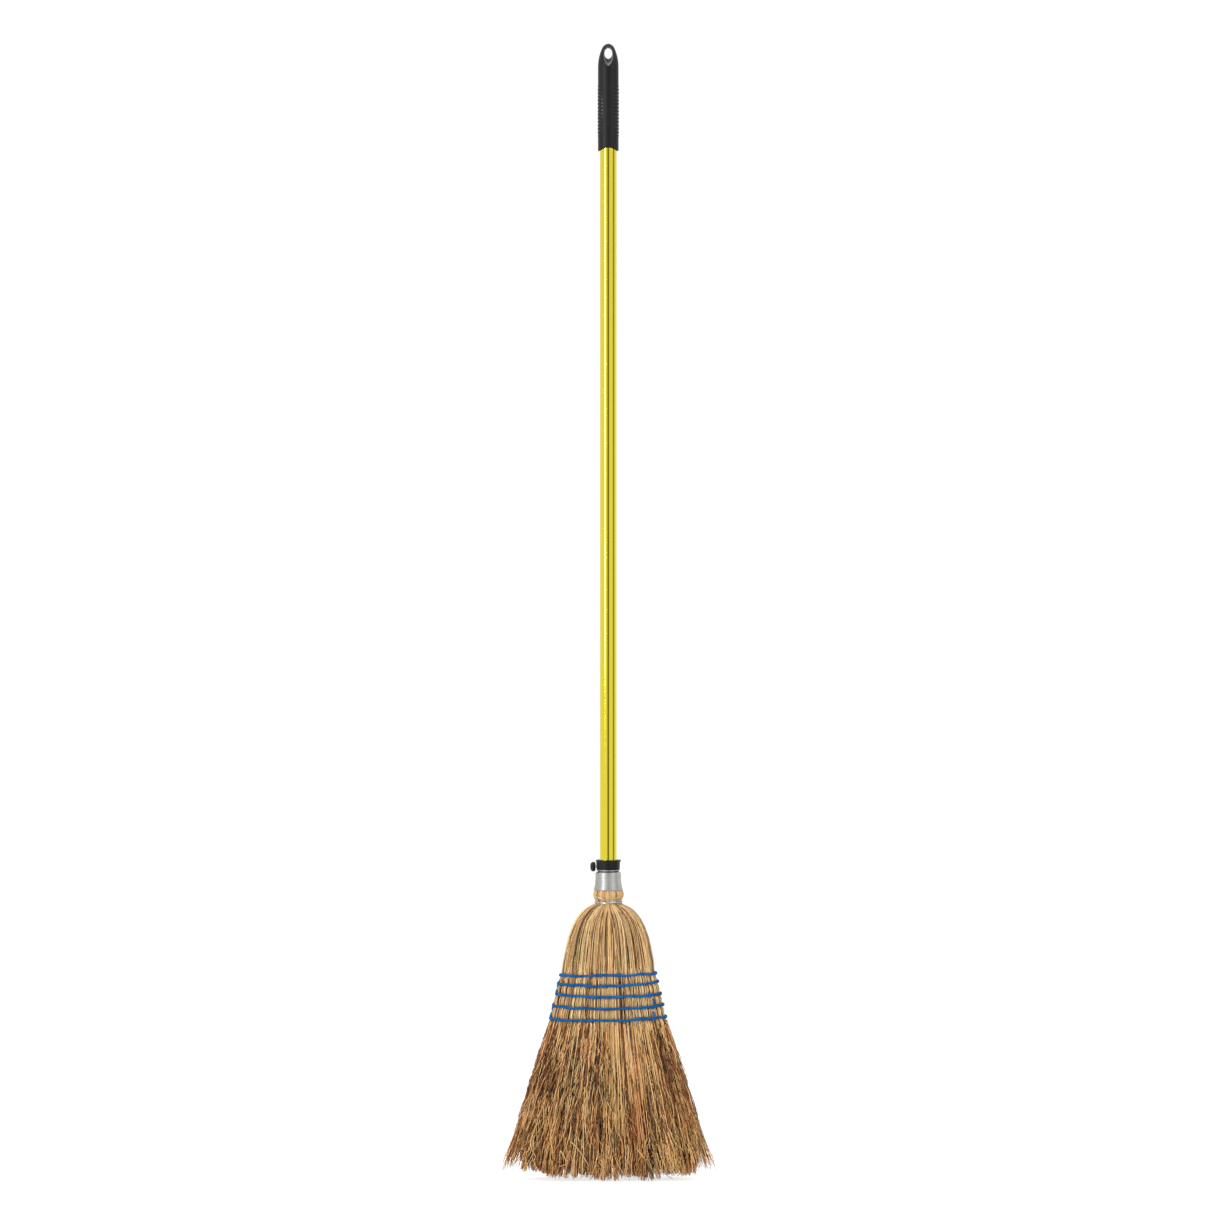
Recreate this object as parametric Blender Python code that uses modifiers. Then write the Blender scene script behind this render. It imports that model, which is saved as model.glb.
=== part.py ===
# A straw broom: a sewn fan of broom straw under a sheet metal ferrule, and a metal pole that a
# thumb screw clamps in a plastic collar. Metres, +Z up. The origin is on the floor under the pole,
# the wide side of the fan faces -Y, and the thumb screw points to -X.
import math

import bmesh
import bpy
import numpy as np
from mathutils import Matrix

OBJECT_NAME = "straw_broom"

# Clearances and helpers that serve every piece
SEAT_GAP = 0.0003              # between two pieces that touch
CUT_OVERRUN = 0.004            # how far a cutter runs past the face that it opens
WELD = 0.00001                 # points closer than this are one point
ROUND_STEPS = 32               # facets round a turned piece
SMALL_STEPS = 20               # facets round a small turned piece

# Heights of the head, from the floor up
BRISTLE_LENGTH = 0.1880        # floor to the slice of straw that carries the free ends
BACKING_THICKNESS = 0.0095
LOWEST_ROW_MARGIN = 0.0045     # lowest stitch row above the end of the sewn straw
ROW_PITCHES = (0.0150, 0.0156, 0.0140, 0.0131)
CROWN_HEIGHT = 0.0907          # highest stitch row to the foot of the neck winding
NECK_WIRE_HEIGHT = 0.0077      # straw under the neck winding
NECK_BULGE_HEIGHT = 0.0111     # bare straw between the neck winding and the ferrule's mouth
FERRULE_HEIGHT = 0.0258
COLLAR_BODY_HEIGHT = 0.0097
COLLAR_LIP_HEIGHT = 0.0025

# Pole and grip
POLE_DIAMETER = 0.0220
POLE_WALL = 0.0009
POLE_EDGE = 0.0002             # broken edge at the cut ends
POLE_BARE_LENGTH = 0.9055      # collar to grip
GRIP_LENGTH = 0.1370
GRIP_DIAMETER = 0.0264
GRIP_SOLID_TOP = 0.0375        # solid end above the pole, with the hanging eye
GRIP_RIM_ARCH = 0.0030         # rise of the lower rim at the front and back
GRIP_RIM_ROUND = 0.0008
GRIP_RIB_COUNT = 15
GRIP_RIB_PITCH = 0.00455
GRIP_RIB_HEIGHT = 0.0007
GRIP_RIBS_START = 0.0190       # lower rim to the first rib
GRIP_PANEL_MIDDLE_DEG = 58     # how far the rib panel reaches round from the side, at its middle
GRIP_PANEL_END_DEG = 24        # and at its ends
GRIP_PANEL_FADE_DEG = 12       # over which the ribs run out
GRIP_DOME_HEIGHT = 0.0310
GRIP_STEPS = 32

# Hanging eye: a scoop from the front and one from the back, which meet inside the grip
EYE_TOP_MARGIN = 0.0024        # grip's end to the top of the eye's mouth
EYE_HEIGHT = 0.0278
EYE_WIDTH = 0.0132
EYE_THROAT_HEIGHT = 0.0136
EYE_THROAT_WIDTH = 0.0098
EYE_THROAT_DROP = 0.0034       # top of the throat under the top of the mouth
EYE_POINT = 0.35               # how pointed the eye's foot is, 0 for a plain ellipse
EYE_STEPS = 20

# Collar and its socket
COLLAR_DIAMETER = 0.0300
COLLAR_LIP_DIAMETER = 0.0320
COLLAR_EDGE = 0.0004
SOCKET_DEPTH = 0.0950
SOCKET_FLOOR = 0.0020
SOCKET_WALL = 0.0015

# Thumb screw
SCREW_DROP = 0.0062            # screw axis under the collar's lip
SCREW_DIAMETER = 0.0040
SCREW_POINT = 0.0006
INSERT_WALL = 0.0006
INSERT_LENGTH = 0.0032
WASHER_DIAMETER = 0.0115
WASHER_THICKNESS = 0.0008
KNOB_DIAMETER = 0.0128
KNOB_THICKNESS = 0.0067
KNOB_GRIP_DEPTH = 0.0038       # how far the shank reaches into the knob
KNOB_LOBES = 8
KNOB_LOBE_DEPTH = 0.0004
KNOB_STEPS = 32

# Ferrule: thin sheet, rolled at the top and flared at the mouth
FERRULE_SHEET = 0.0005
FERRULE_BEAD_DIAMETER = 0.0296
FERRULE_BEAD_ROUND = 0.0007
FERRULE_GROOVE_DIAMETER = 0.0284
FERRULE_BARREL_DIAMETER = 0.0328
FERRULE_MOUTH_DIAMETER = 0.0372
FERRULE_GROOVE_DROP = 0.0019   # groove under the bead's top
FERRULE_SHOULDER_HEIGHT = 0.0050
FERRULE_FLARE_HEIGHT = 0.0130

# Straw
CORE_NECK_WALL = 0.0008        # inner straw round the socket sleeve
CORE_TOP_DROP = 0.0058         # end of the inner straw under the ferrule's top
CORE_WIDTH = 0.0520            # inner bundle between the two shoulders
SHOULDER_LEAST_WIDTH = 0.0080  # the shoulder bundles start where the crown leaves this much
NECK_WAIST_DIAMETER = 0.0340   # straw under the neck winding
NECK_BULGE_DIAMETER = 0.0396
HURL_TUCK = 0.0033             # how far the cover reaches up into the ferrule
HURL_TUCK_DIAMETER = 0.0332
HURL_THICKNESS = 0.0030
FAN_FLOOR_WIDTH = 0.2730
FAN_FLOOR_DEPTH = 0.0580
FAN_SQUARENESS = 2.5           # 2 is an ellipse, more is nearer to a box
STITCH_WAIST = 0.0020          # how deep a stitch row draws the straw in
RIDGE_HEIGHT = 0.0005          # stalk bundles along the straw
GROOVE_DEPTH = 0.0016          # deepest groove between two bundles
GROOVE_LEAST_SHARE = 0.5       # shallowest groove, as a share of the deepest
GROOVE_SEED = 8
STRAW_STEPS = 52               # corners round the straw, two to each bundle
OUTLINE_SAMPLES = 2000         # places that measure the way round the fan

# Wires and twine
NECK_WIRE_DIAMETER = 0.0015
NECK_WIRE_TURNS = 3
NECK_WIRE_PITCH = 0.0021
BINDING_WIRE_DIAMETER = 0.0010
BINDING_WIRE_TURNS = 2
BINDING_WIRE_PITCH = 0.0022
BINDING_WIRE_DROP = 0.0150     # first turn under the ferrule's top
TWINE_DIAMETER = 0.0026
LEAST_WINDING_GAP = 0.0004
LOOP_POINTS = 24

# Free bristles
BRISTLE_COLUMNS = 30
BRISTLE_LAYERS = 10
BRISTLE_ROOT_SHARE = 0.74      # of its cell that a strand fills at its root
BRISTLE_TIP_SHARE = 0.46       # and at its tip
BRISTLE_LEAN_SHARE = 0.30      # how far the layers' tips are staggered in their cells
BRISTLE_WANDER_SHARE = 0.20    # how far each tip strays in its cell besides
BRISTLE_EDGE_SHARE = 0.45      # how much thinner the brush is at its two sides
CORNER_RISE = 0.0150           # outermost tips above the floor
RAGGED_LENGTH = 0.0070         # shortest strands above the rest
FLAT_CUT = 0.0005              # tips nearer than this to the floor are cut flat on it
BRISTLE_SEED = 5
BRISTLE_NODES = ("bristles_far_left", "bristles_left", "bristles_middle",
                 "bristles_right", "bristles_far_right")

# Fan outline from the neck winding down to the floor:
# (share of the height, share of the gain in width), and the same for the depth
FAN_WIDTH_SHARES = ((0.000, 0.000), (0.004, 0.055), (0.012, 0.092), (0.019, 0.126), (0.027, 0.150),
                    (0.055, 0.217), (0.085, 0.260), (0.114, 0.292), (0.143, 0.313), (0.201, 0.341),
                    (0.260, 0.374), (0.318, 0.419), (0.435, 0.496), (1.000, 1.000))
FAN_DEPTH_SHARES = ((0.000, 0.000), (0.004, 0.240), (0.019, 0.400), (0.055, 0.520), (0.114, 0.620),
                    (0.260, 0.580), (0.435, 0.500), (1.000, 1.000))
CROWN_LEVEL_SHARES = (0.004, 0.012, 0.019, 0.027, 0.055, 0.085, 0.114, 0.155, 0.205)
INNER_LEVEL_SHARES = (0.012, 0.027, 0.055, 0.114, 0.205, 0.318)
# Profiles as shares: the ferrule's shoulder and flare (gain in radius, drop), the knob (radius,
# thickness) and the grip's dome (height, radius)
FERRULE_SHOULDER_SHARES = ((0.45, 0.06), (0.75, 0.24), (0.93, 0.58), (1.00, 1.00))
FERRULE_FLARE_SHARES = ((0.00, 0.00), (0.20, 0.38), (0.58, 0.74), (1.00, 1.00))
KNOB_PROFILE_SHARES = ((0.72, 0.00), (0.92, 0.13), (1.00, 0.36), (0.98, 0.58), (0.84, 0.80),
                       (0.56, 0.95), (0.22, 1.00))
GRIP_DOME_SHARES = ((0.00, 1.00), (0.26, 0.970), (0.38, 0.920), (0.50, 0.865), (0.63, 0.775),
                    (0.74, 0.680), (0.87, 0.530), (0.955, 0.330), (1.00, 0.120))
BULGE_SHARES = ((0.00, 0.10), (0.18, 0.62), (0.48, 1.00), (0.80, 0.90))

# Heights that follow from the sizes above
backing_top = BRISTLE_LENGTH + BACKING_THICKNESS
straw_foot = backing_top + SEAT_GAP
row_heights = straw_foot + LOWEST_ROW_MARGIN + np.cumsum((0.0,) + ROW_PITCHES)
neck_foot = row_heights[-1] + CROWN_HEIGHT
neck_top = neck_foot + NECK_WIRE_HEIGHT
ferrule_mouth = neck_top + NECK_BULGE_HEIGHT
ferrule_top = ferrule_mouth + FERRULE_HEIGHT
collar_foot = ferrule_top + SEAT_GAP
lip_foot = collar_foot + COLLAR_BODY_HEIGHT
collar_top = lip_foot + COLLAR_LIP_HEIGHT
socket_floor = collar_top - SOCKET_DEPTH
pole_foot = socket_floor + SEAT_GAP
grip_foot = collar_top + POLE_BARE_LENGTH
grip_top = grip_foot + GRIP_LENGTH
pole_top = grip_top - GRIP_SOLID_TOP
screw_height = lip_foot - SCREW_DROP

# Radii that follow
pole_radius = POLE_DIAMETER / 2
socket_radius = pole_radius + SEAT_GAP
sleeve_radius = socket_radius + SOCKET_WALL
core_bore_radius = sleeve_radius + SEAT_GAP
core_neck_radius = core_bore_radius + CORE_NECK_WALL
hurl_neck_radius = core_neck_radius + SEAT_GAP
insert_bore_radius = SCREW_DIAMETER / 2 + SEAT_GAP
insert_radius = insert_bore_radius + INSERT_WALL


def material(name, color, roughness, metallic=0.0):
    made = bpy.data.materials.new(name)
    made.use_nodes = True
    shader = made.node_tree.nodes["Principled BSDF"]
    shader.inputs["Base Color"].default_value = (*color, 1.0)
    shader.inputs["Roughness"].default_value = roughness
    shader.inputs["Metallic"].default_value = metallic
    return made


def add_object(name, data, collection, look=None):
    made = bpy.data.objects.new(name, data)
    collection.objects.link(made)
    if look is not None:
        data.materials.append(look)
    return made


def finish_mesh(name, work):
    """Turns a bmesh into a mesh with its faces outward, smooth but for its edges."""
    bmesh.ops.recalc_face_normals(work, faces=work.faces)
    mesh = bpy.data.meshes.new(name)
    work.to_mesh(mesh)
    work.free()
    mesh.shade_smooth()
    mesh.set_sharp_from_angle(angle=math.radians(35))
    return mesh


def loft(name, rings, closed=False):
    """Skins rings of equally many points. The ends are capped, or joined where closed is set."""
    work = bmesh.new()
    loops = [[work.verts.new(point) for point in ring] for ring in rings]
    following = loops[1:] + loops[:1] if closed else loops[1:]
    for lower, upper in zip(loops, following):
        for index, corner in enumerate(lower):
            after = (index + 1) % len(lower)
            work.faces.new((corner, lower[after], upper[after], upper[index]))
    if not closed:
        work.faces.new(loops[0])
        work.faces.new(loops[-1])
    return finish_mesh(name, work)


def turned(name, profile, collection, look=None, steps=ROUND_STEPS, closed=True):
    """Turns a profile of (radius, height) about Z. It runs down the outer side."""
    mesh = bpy.data.meshes.new(name)
    points = [(radius, 0, height) for radius, height in profile]
    edges = [(index, index + 1) for index in range(len(points) - 1)]
    if closed:
        edges.append((len(points) - 1, 0))
    mesh.from_pydata(points, edges, [])
    made = add_object(name, mesh, collection, look)
    screw = made.modifiers.new("turn", "SCREW")
    screw.steps = steps
    screw.render_steps = steps
    screw.use_merge_vertices = True
    screw.merge_threshold = WELD
    screw.use_smooth_shade = True
    return made


def arc(centre, radius, start_deg, end_deg, count):
    """Points of (radius, height) along an arc about the centre."""
    angles = np.radians(np.linspace(start_deg, end_deg, count))
    return [(centre[0] + radius * math.cos(angle), centre[1] + radius * math.sin(angle))
            for angle in angles]


def tube(name, points, diameter, collection, look):
    """A round wire along the points, with closed ends."""
    curve = bpy.data.curves.new(name, "CURVE")
    curve.dimensions = "3D"
    curve.bevel_depth = diameter / 2
    curve.bevel_resolution = 1
    curve.use_fill_caps = True
    spline = curve.splines.new("POLY")
    spline.points.add(len(points) - 1)
    for target, point in zip(spline.points, points):
        target.co = (*point, 1.0)
    return add_object(name, curve, collection, look)


def cut(target, cutter):
    cutter.hide_render = True
    cutter.display_type = "WIRE"
    made = target.modifiers.new("cut", "BOOLEAN")
    made.operation = "DIFFERENCE"
    made.solver = "EXACT"
    made.object = cutter


def side_cylinder(name, radius, inner_x, outer_x, collection, steps=SMALL_STEPS):
    """A cylinder along the thumb screw's axis, between two distances from the pole's axis."""
    profile = [(0, outer_x - inner_x), (radius, outer_x - inner_x), (radius, 0), (0, 0)]
    made = turned(name, profile, collection, steps=steps, closed=False)
    face_left(made, inner_x)
    return made


def face_left(made, distance):
    """Lays a piece that was made along +Z on the thumb screw's axis, pointing away from the pole."""
    made.location = (-distance, 0, screw_height)
    made.rotation_euler = (0, -math.pi / 2, 0)


def smooth_share(table, share):
    """Reads a table of shares along a smooth curve that never overshoots its points."""
    places, values = np.array(table).T
    slopes = np.diff(values) / np.diff(places)
    before, after = slopes[:-1], slopes[1:]
    inner = np.where(before * after > 0, 2 * before * after / (before + after + 1e-12), 0)
    tangents = np.concatenate((slopes[:1], inner, slopes[-1:]))
    index = int(np.clip(np.searchsorted(places, share) - 1, 0, len(places) - 2))
    step = places[index + 1] - places[index]
    part = (share - places[index]) / step
    bend = part * part * (3 - 2 * part)
    return (values[index] * (1 - bend) + values[index + 1] * bend
            + step * tangents[index] * part * (1 - part) ** 2
            + step * tangents[index + 1] * part * part * (part - 1))


def blend(start, end, share):
    return start + (end - start) * share


# Straw: every layer reads its outline from these functions

def fan_half_width(height):
    share = smooth_share(FAN_WIDTH_SHARES, 1 - height / neck_foot)
    return blend(NECK_WAIST_DIAMETER / 2, FAN_FLOOR_WIDTH / 2, share)


def fan_half_depth(height):
    share = smooth_share(FAN_DEPTH_SHARES, 1 - height / neck_foot)
    return blend(NECK_WAIST_DIAMETER / 2, FAN_FLOOR_DEPTH / 2, share)


def fan_squareness(height):
    """Round at the neck, and full in the fan."""
    share = smooth_share(FAN_DEPTH_SHARES, 1 - height / neck_foot)
    return blend(2.0, FAN_SQUARENESS, min(1.0, 2 * share))


def outline(half_width, half_depth, squareness, angles):
    """Points of a superellipse: an ellipse whose sides fill out as the squareness grows."""
    cosine, sine = np.cos(angles), np.sin(angles)
    across = half_width * np.sign(cosine) * np.abs(cosine) ** (2 / squareness)
    deep = half_depth * np.sign(sine) * np.abs(sine) ** (2 / squareness)
    return across, deep


def round_angles(count):
    return np.arange(count) * 2 * math.pi / count


def level_ring(across, deep, height):
    return np.stack((across, deep, np.full_like(across, height)), axis=1)


def fan_ring(height, inset, angles, half_limit=None):
    """One level of the fan, inset from its surface, and cut off at half_limit to each side."""
    across, deep = outline(fan_half_width(height) - inset, fan_half_depth(height) - inset,
                           fan_squareness(height), angles)
    if half_limit is not None:
        across = np.clip(across, -half_limit, half_limit)
    return level_ring(across, deep, height)


def straw_angles():
    """Angles of the straw's corners, evenly spaced on the way round the fan at its highest row."""
    fine = np.linspace(0, 2 * math.pi, OUTLINE_SAMPLES + 1)
    sides = np.diff(fan_ring(row_heights[-1], 0, fine), axis=0)
    way = np.append(0, np.cumsum(np.linalg.norm(sides, axis=1)))
    return np.interp(np.arange(STRAW_STEPS) / STRAW_STEPS * way[-1], way, fine)


def bundle_insets():
    """Inset of each corner of the cover: the bundles' ridges by turns with grooves of many depths."""
    depth_shares = np.random.default_rng(GROOVE_SEED).uniform(GROOVE_LEAST_SHARE, 1, STRAW_STEPS)
    return np.where(np.arange(STRAW_STEPS) % 2, GROOVE_DEPTH * depth_shares, -RIDGE_HEIGHT)


def outline_dip(height, inset, angles):
    """How far the straight sides between corners at these angles dip inside the fan's true outline."""
    half_steps = np.diff(np.append(angles, angles[0] + 2 * math.pi)) / 2
    corners = fan_ring(height, inset, angles)[:, :2]
    middles = fan_ring(height, inset, angles + half_steps)[:, :2]
    sides = np.roll(corners, -1, axis=0) - corners
    offsets = middles - corners
    areas = sides[:, 0] * offsets[:, 1] - sides[:, 1] * offsets[:, 0]
    return np.abs(areas / np.linalg.norm(sides, axis=1)).max()


def round_ring(height, radius, angles):
    return level_ring(radius * np.cos(angles), radius * np.sin(angles), height)


def crown_height(share):
    return neck_foot * (1 - share)


def make_hurl_cover(collection, look):
    """The outer straw, from inside the ferrule to the lowest stitch row. Its outside has the bundles
    of the stalks with the grooves between them, the bulge of the neck and a waist at each stitch row."""
    angles, bundles = straw_angles(), bundle_insets()
    outer = [round_ring(ferrule_mouth + HURL_TUCK, HURL_TUCK_DIAMETER / 2, angles)]
    for drop_share, bulge_share in BULGE_SHARES:
        height = ferrule_mouth - drop_share * NECK_BULGE_HEIGHT
        radius = blend(HURL_TUCK_DIAMETER, NECK_BULGE_DIAMETER, bulge_share) / 2
        outer.append(round_ring(height, radius, angles))
    outer.append(round_ring(neck_top, NECK_WAIST_DIAMETER / 2, angles))
    outer.append(round_ring(neck_foot, NECK_WAIST_DIAMETER / 2, angles))
    for share in CROWN_LEVEL_SHARES:
        outer.append(fan_ring(crown_height(share), bundles, angles))
    margin = min(ROW_PITCHES) / 2
    outer.append(fan_ring(row_heights[-1] + margin, bundles, angles))
    for row in range(len(row_heights) - 1, -1, -1):
        outer.append(fan_ring(row_heights[row], STITCH_WAIST, angles))
        if row > 0:
            middle = (row_heights[row] + row_heights[row - 1]) / 2
            outer.append(fan_ring(middle, bundles, angles))
    outer.append(fan_ring(straw_foot, bundles, angles))
    inner = [round_ring(ferrule_mouth + HURL_TUCK, hurl_neck_radius, angles),
             round_ring(neck_foot, hurl_neck_radius, angles)]
    for share in INNER_LEVEL_SHARES:
        inner.append(fan_ring(crown_height(share), HURL_THICKNESS, angles))
    inner.append(fan_ring(straw_foot, HURL_THICKNESS, angles))
    return add_object("hurl_cover", loft("hurl_cover", outer + inner[::-1], closed=True),
                      collection, look)


def make_straw_core(collection, cutters, look):
    """The stiff inner bundle. It fills the cover's inside between the shoulders, and is bored for
    the collar's sleeve."""
    angles = straw_angles()
    rings = [round_ring(ferrule_top - CORE_TOP_DROP, core_neck_radius, angles),
             round_ring(neck_foot, core_neck_radius, angles)]
    for share in INNER_LEVEL_SHARES:
        rings.append(fan_ring(crown_height(share), HURL_THICKNESS + SEAT_GAP, angles, CORE_WIDTH / 2))
    rings.append(fan_ring(straw_foot, HURL_THICKNESS + SEAT_GAP, angles, CORE_WIDTH / 2))
    core = add_object("straw_core", loft("straw_core", rings), collection, look)
    bore_foot = socket_floor - SOCKET_FLOOR - SEAT_GAP
    bore_profile = [(0, ferrule_top + CUT_OVERRUN), (core_bore_radius, ferrule_top + CUT_OVERRUN),
                    (core_bore_radius, bore_foot), (0, bore_foot)]
    cut(core, turned("core_bore", bore_profile, cutters, closed=False))
    return core


def make_shoulder(name, side, collection, look):
    """A side bundle: the part of the cover's inside that lies beyond the inner bundle."""
    inner_face = CORE_WIDTH / 2 + SEAT_GAP
    rings = []
    for height in [crown_height(share) for share in INNER_LEVEL_SHARES] + [straw_foot]:
        inset = HURL_THICKNESS + SEAT_GAP + outline_dip(height, HURL_THICKNESS, straw_angles())
        half_width = fan_half_width(height) - inset
        if half_width < inner_face + SHOULDER_LEAST_WIDTH:
            continue
        squareness = fan_squareness(height)
        reach = math.acos((inner_face / half_width) ** (squareness / 2))
        angles = np.linspace(-reach, reach, STRAW_STEPS // 4)
        ring = fan_ring(height, inset, angles)
        ring[:, 0] *= side
        rings.append(ring)
    return add_object(name, loft(name, rings), collection, look)


def round_winding(radius, first_height, turns, pitch):
    """A helix that climbs down steadily round the pole's axis."""
    angles = np.linspace(0, turns * 2 * math.pi, turns * LOOP_POINTS + 1)
    heights = first_height - pitch * angles / (2 * math.pi)
    return np.stack((radius * np.cos(angles), radius * np.sin(angles), heights), axis=1)


def with_straight_ends(points, diameter):
    """Adds a straight tail of one diameter at each end."""
    first = points[0] - points[1]
    last = points[-1] - points[-2]
    start = points[0] + first / np.linalg.norm(first) * diameter
    end = points[-1] + last / np.linalg.norm(last) * diameter
    return np.vstack((start, points, end))


def least_self_gap(points, diameter):
    """Least clear distance between stretches of one winding that lie over half a loop apart."""
    fine = np.concatenate([blend(points[:-1], points[1:], part) for part in (0.0, 0.25, 0.5, 0.75)])
    order = np.tile(np.arange(len(points) - 1), 4)
    distance = np.linalg.norm(fine[:, None] - fine[None], axis=2)
    apart = np.abs(order[:, None] - order[None]) > LOOP_POINTS // 2
    return distance[apart].min() - diameter


def chord_dip(radius):
    """How far a loop's straight chord dips inside its circle."""
    return radius * (1 - math.cos(math.pi / LOOP_POINTS))


def make_winding(name, points, diameter, collection, look):
    points = with_straight_ends(points, diameter)
    gap = least_self_gap(points, diameter)
    print(name, "least gap to itself", round(gap / LEAST_WINDING_GAP, 2), "times the least allowed")
    return tube(name, points, diameter, collection, look)


def make_wires(collection, look):
    neck_radius = (NECK_WAIST_DIAMETER + NECK_WIRE_DIAMETER) / 2 + SEAT_GAP
    neck_radius += chord_dip(neck_radius)
    neck_start = (neck_foot + neck_top + NECK_WIRE_TURNS * NECK_WIRE_PITCH) / 2
    neck = round_winding(neck_radius, neck_start, NECK_WIRE_TURNS, NECK_WIRE_PITCH)
    make_winding("neck_wire", neck, NECK_WIRE_DIAMETER, collection, look)
    binding_radius = core_neck_radius + BINDING_WIRE_DIAMETER / 2 + SEAT_GAP
    binding_radius += chord_dip(binding_radius)
    binding = round_winding(binding_radius, ferrule_top - BINDING_WIRE_DROP, BINDING_WIRE_TURNS,
                            BINDING_WIRE_PITCH)
    make_winding("binding_wire", binding, BINDING_WIRE_DIAMETER, collection, look)


def loop_angles():
    """Angles of one loop's points. It starts at the fan's left edge and runs along the back first."""
    return math.pi - round_angles(LOOP_POINTS)


def raised_ring(height, inset, angles, lift):
    """A level of the fan, with each point lifted square off the straw's surface."""
    step = math.pi / (10 * LOOP_POINTS)
    ring = fan_ring(height, inset, angles)
    along = fan_ring(height, inset, angles + step) - fan_ring(height, inset, angles - step)
    along /= np.linalg.norm(along, axis=1)[:, None]
    ring[:, 0] += lift * along[:, 1]
    ring[:, 1] -= lift * along[:, 0]
    return ring


def make_twine(collection, look):
    """One twine round the fan in all its rows. It steps down to the next row at the left edge."""
    loops = []
    for row in range(len(row_heights) - 1, -1, -1):
        dip = outline_dip(row_heights[row], STITCH_WAIST, round_angles(LOOP_POINTS))
        lift = TWINE_DIAMETER / 2 + SEAT_GAP + dip
        loops.append(raised_ring(row_heights[row], STITCH_WAIST, loop_angles(), lift))
        if row > 0:
            between = (row_heights[row] + row_heights[row - 1]) / 2
            edge_angle = np.array([math.pi + math.pi / LOOP_POINTS])
            loops.append(raised_ring(between, -RIDGE_HEIGHT, edge_angle, lift))
    make_winding("stitching_twine", np.vstack(loops), TWINE_DIAMETER, collection, look)


def brush_place(across_share, deep_share, height):
    """Where a share of the brush's width and depth lies at a height. Shares run from -1 to 1."""
    down = max(0.0, 1 - height / BRISTLE_LENGTH)
    half_width = blend(fan_half_width(BRISTLE_LENGTH), FAN_FLOOR_WIDTH / 2, down)
    half_depth = blend(fan_half_depth(BRISTLE_LENGTH), FAN_FLOOR_DEPTH / 2, down)
    thinning = 1 - BRISTLE_EDGE_SHARE * abs(across_share) ** 3
    return half_width * across_share, half_depth * deep_share * thinning, height


def set_corners(face, half_x, half_y, shift):
    """Squares a face up about its own middle, and shifts it."""
    middle = face.calc_center_median()
    for corner in face.verts:
        corner.co.x = middle.x + math.copysign(half_x, corner.co.x - middle.x) + shift[0]
        corner.co.y = middle.y + math.copysign(half_y, corner.co.y - middle.y) + shift[1]


def layer_lean(deep_share):
    """1 and -1 by turns from layer to layer, so that each layer covers the next one's gaps."""
    layer = math.floor((deep_share + 1) / 2 * BRISTLE_LAYERS)
    return 1 if layer % 2 else -1


def make_bristle_node(name, low_share, high_share, columns, random, collection, look):
    """A slice of straw whose underside is divided into cells. Each cell carries one strand, which
    stays in its cell down to its tip, so that no two strands cross."""
    work = bmesh.new()
    bmesh.ops.create_grid(work, x_segments=columns, y_segments=BRISTLE_LAYERS, size=1)
    cells = list(work.faces)
    for corner in work.verts:
        corner.co.z = BRISTLE_LENGTH
    rim = bmesh.ops.extrude_edge_only(work, edges=[edge for edge in work.edges if edge.is_boundary])
    for item in rim["geom"]:
        if isinstance(item, bmesh.types.BMVert):
            item.co.z = backing_top
    bmesh.ops.holes_fill(work, edges=[edge for edge in work.edges if edge.is_boundary])
    half_x, half_y = 1 / columns, 1 / BRISTLE_LAYERS
    bmesh.ops.inset_individual(work, faces=cells, thickness=half_x / 2)
    for cell in cells:
        lean = layer_lean(cell.calc_center_median().y) * (1 - BRISTLE_ROOT_SHARE)
        shift = (lean * half_x * BRISTLE_ROOT_SHARE, 0)
        set_corners(cell, half_x * BRISTLE_ROOT_SHARE, half_y * BRISTLE_ROOT_SHARE, shift)
    tips = bmesh.ops.extrude_discrete_faces(work, faces=cells)["faces"]
    for tip in tips:
        across = blend(low_share, high_share, (tip.calc_center_median().x + 1) / 2)
        wander = (random.random(2) * 2 - 1) * BRISTLE_WANDER_SHARE
        wander[0] += layer_lean(tip.calc_center_median().y) * BRISTLE_LEAN_SHARE
        set_corners(tip, half_x * BRISTLE_TIP_SHARE, half_y * BRISTLE_TIP_SHARE, wander * (half_x, half_y))
        short = RAGGED_LENGTH * random.random() ** 3
        height = max(0.0, CORNER_RISE * abs(across) ** 4 + short - FLAT_CUT)
        for corner in tip.verts:
            corner.co.z = height
    for corner in work.verts:
        across = blend(low_share, high_share, (corner.co.x + 1) / 2)
        corner.co = brush_place(across, corner.co.y, corner.co.z)
    add_object(name, finish_mesh(name, work), collection, look)


def make_bristles(collection, look):
    """The free ends of the straw, side by side in five nodes."""
    random = np.random.default_rng(BRISTLE_SEED)
    node_share = 2 / len(BRISTLE_NODES)
    half_gap_share = SEAT_GAP / 2 / fan_half_width(BRISTLE_LENGTH)
    for number, name in enumerate(BRISTLE_NODES):
        low_share = number * node_share - 1 + half_gap_share
        high_share = (number + 1) * node_share - 1 - half_gap_share
        make_bristle_node(name, low_share, high_share, BRISTLE_COLUMNS // len(BRISTLE_NODES),
                          random, collection, look)


# Ferrule, collar and thumb screw

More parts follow.
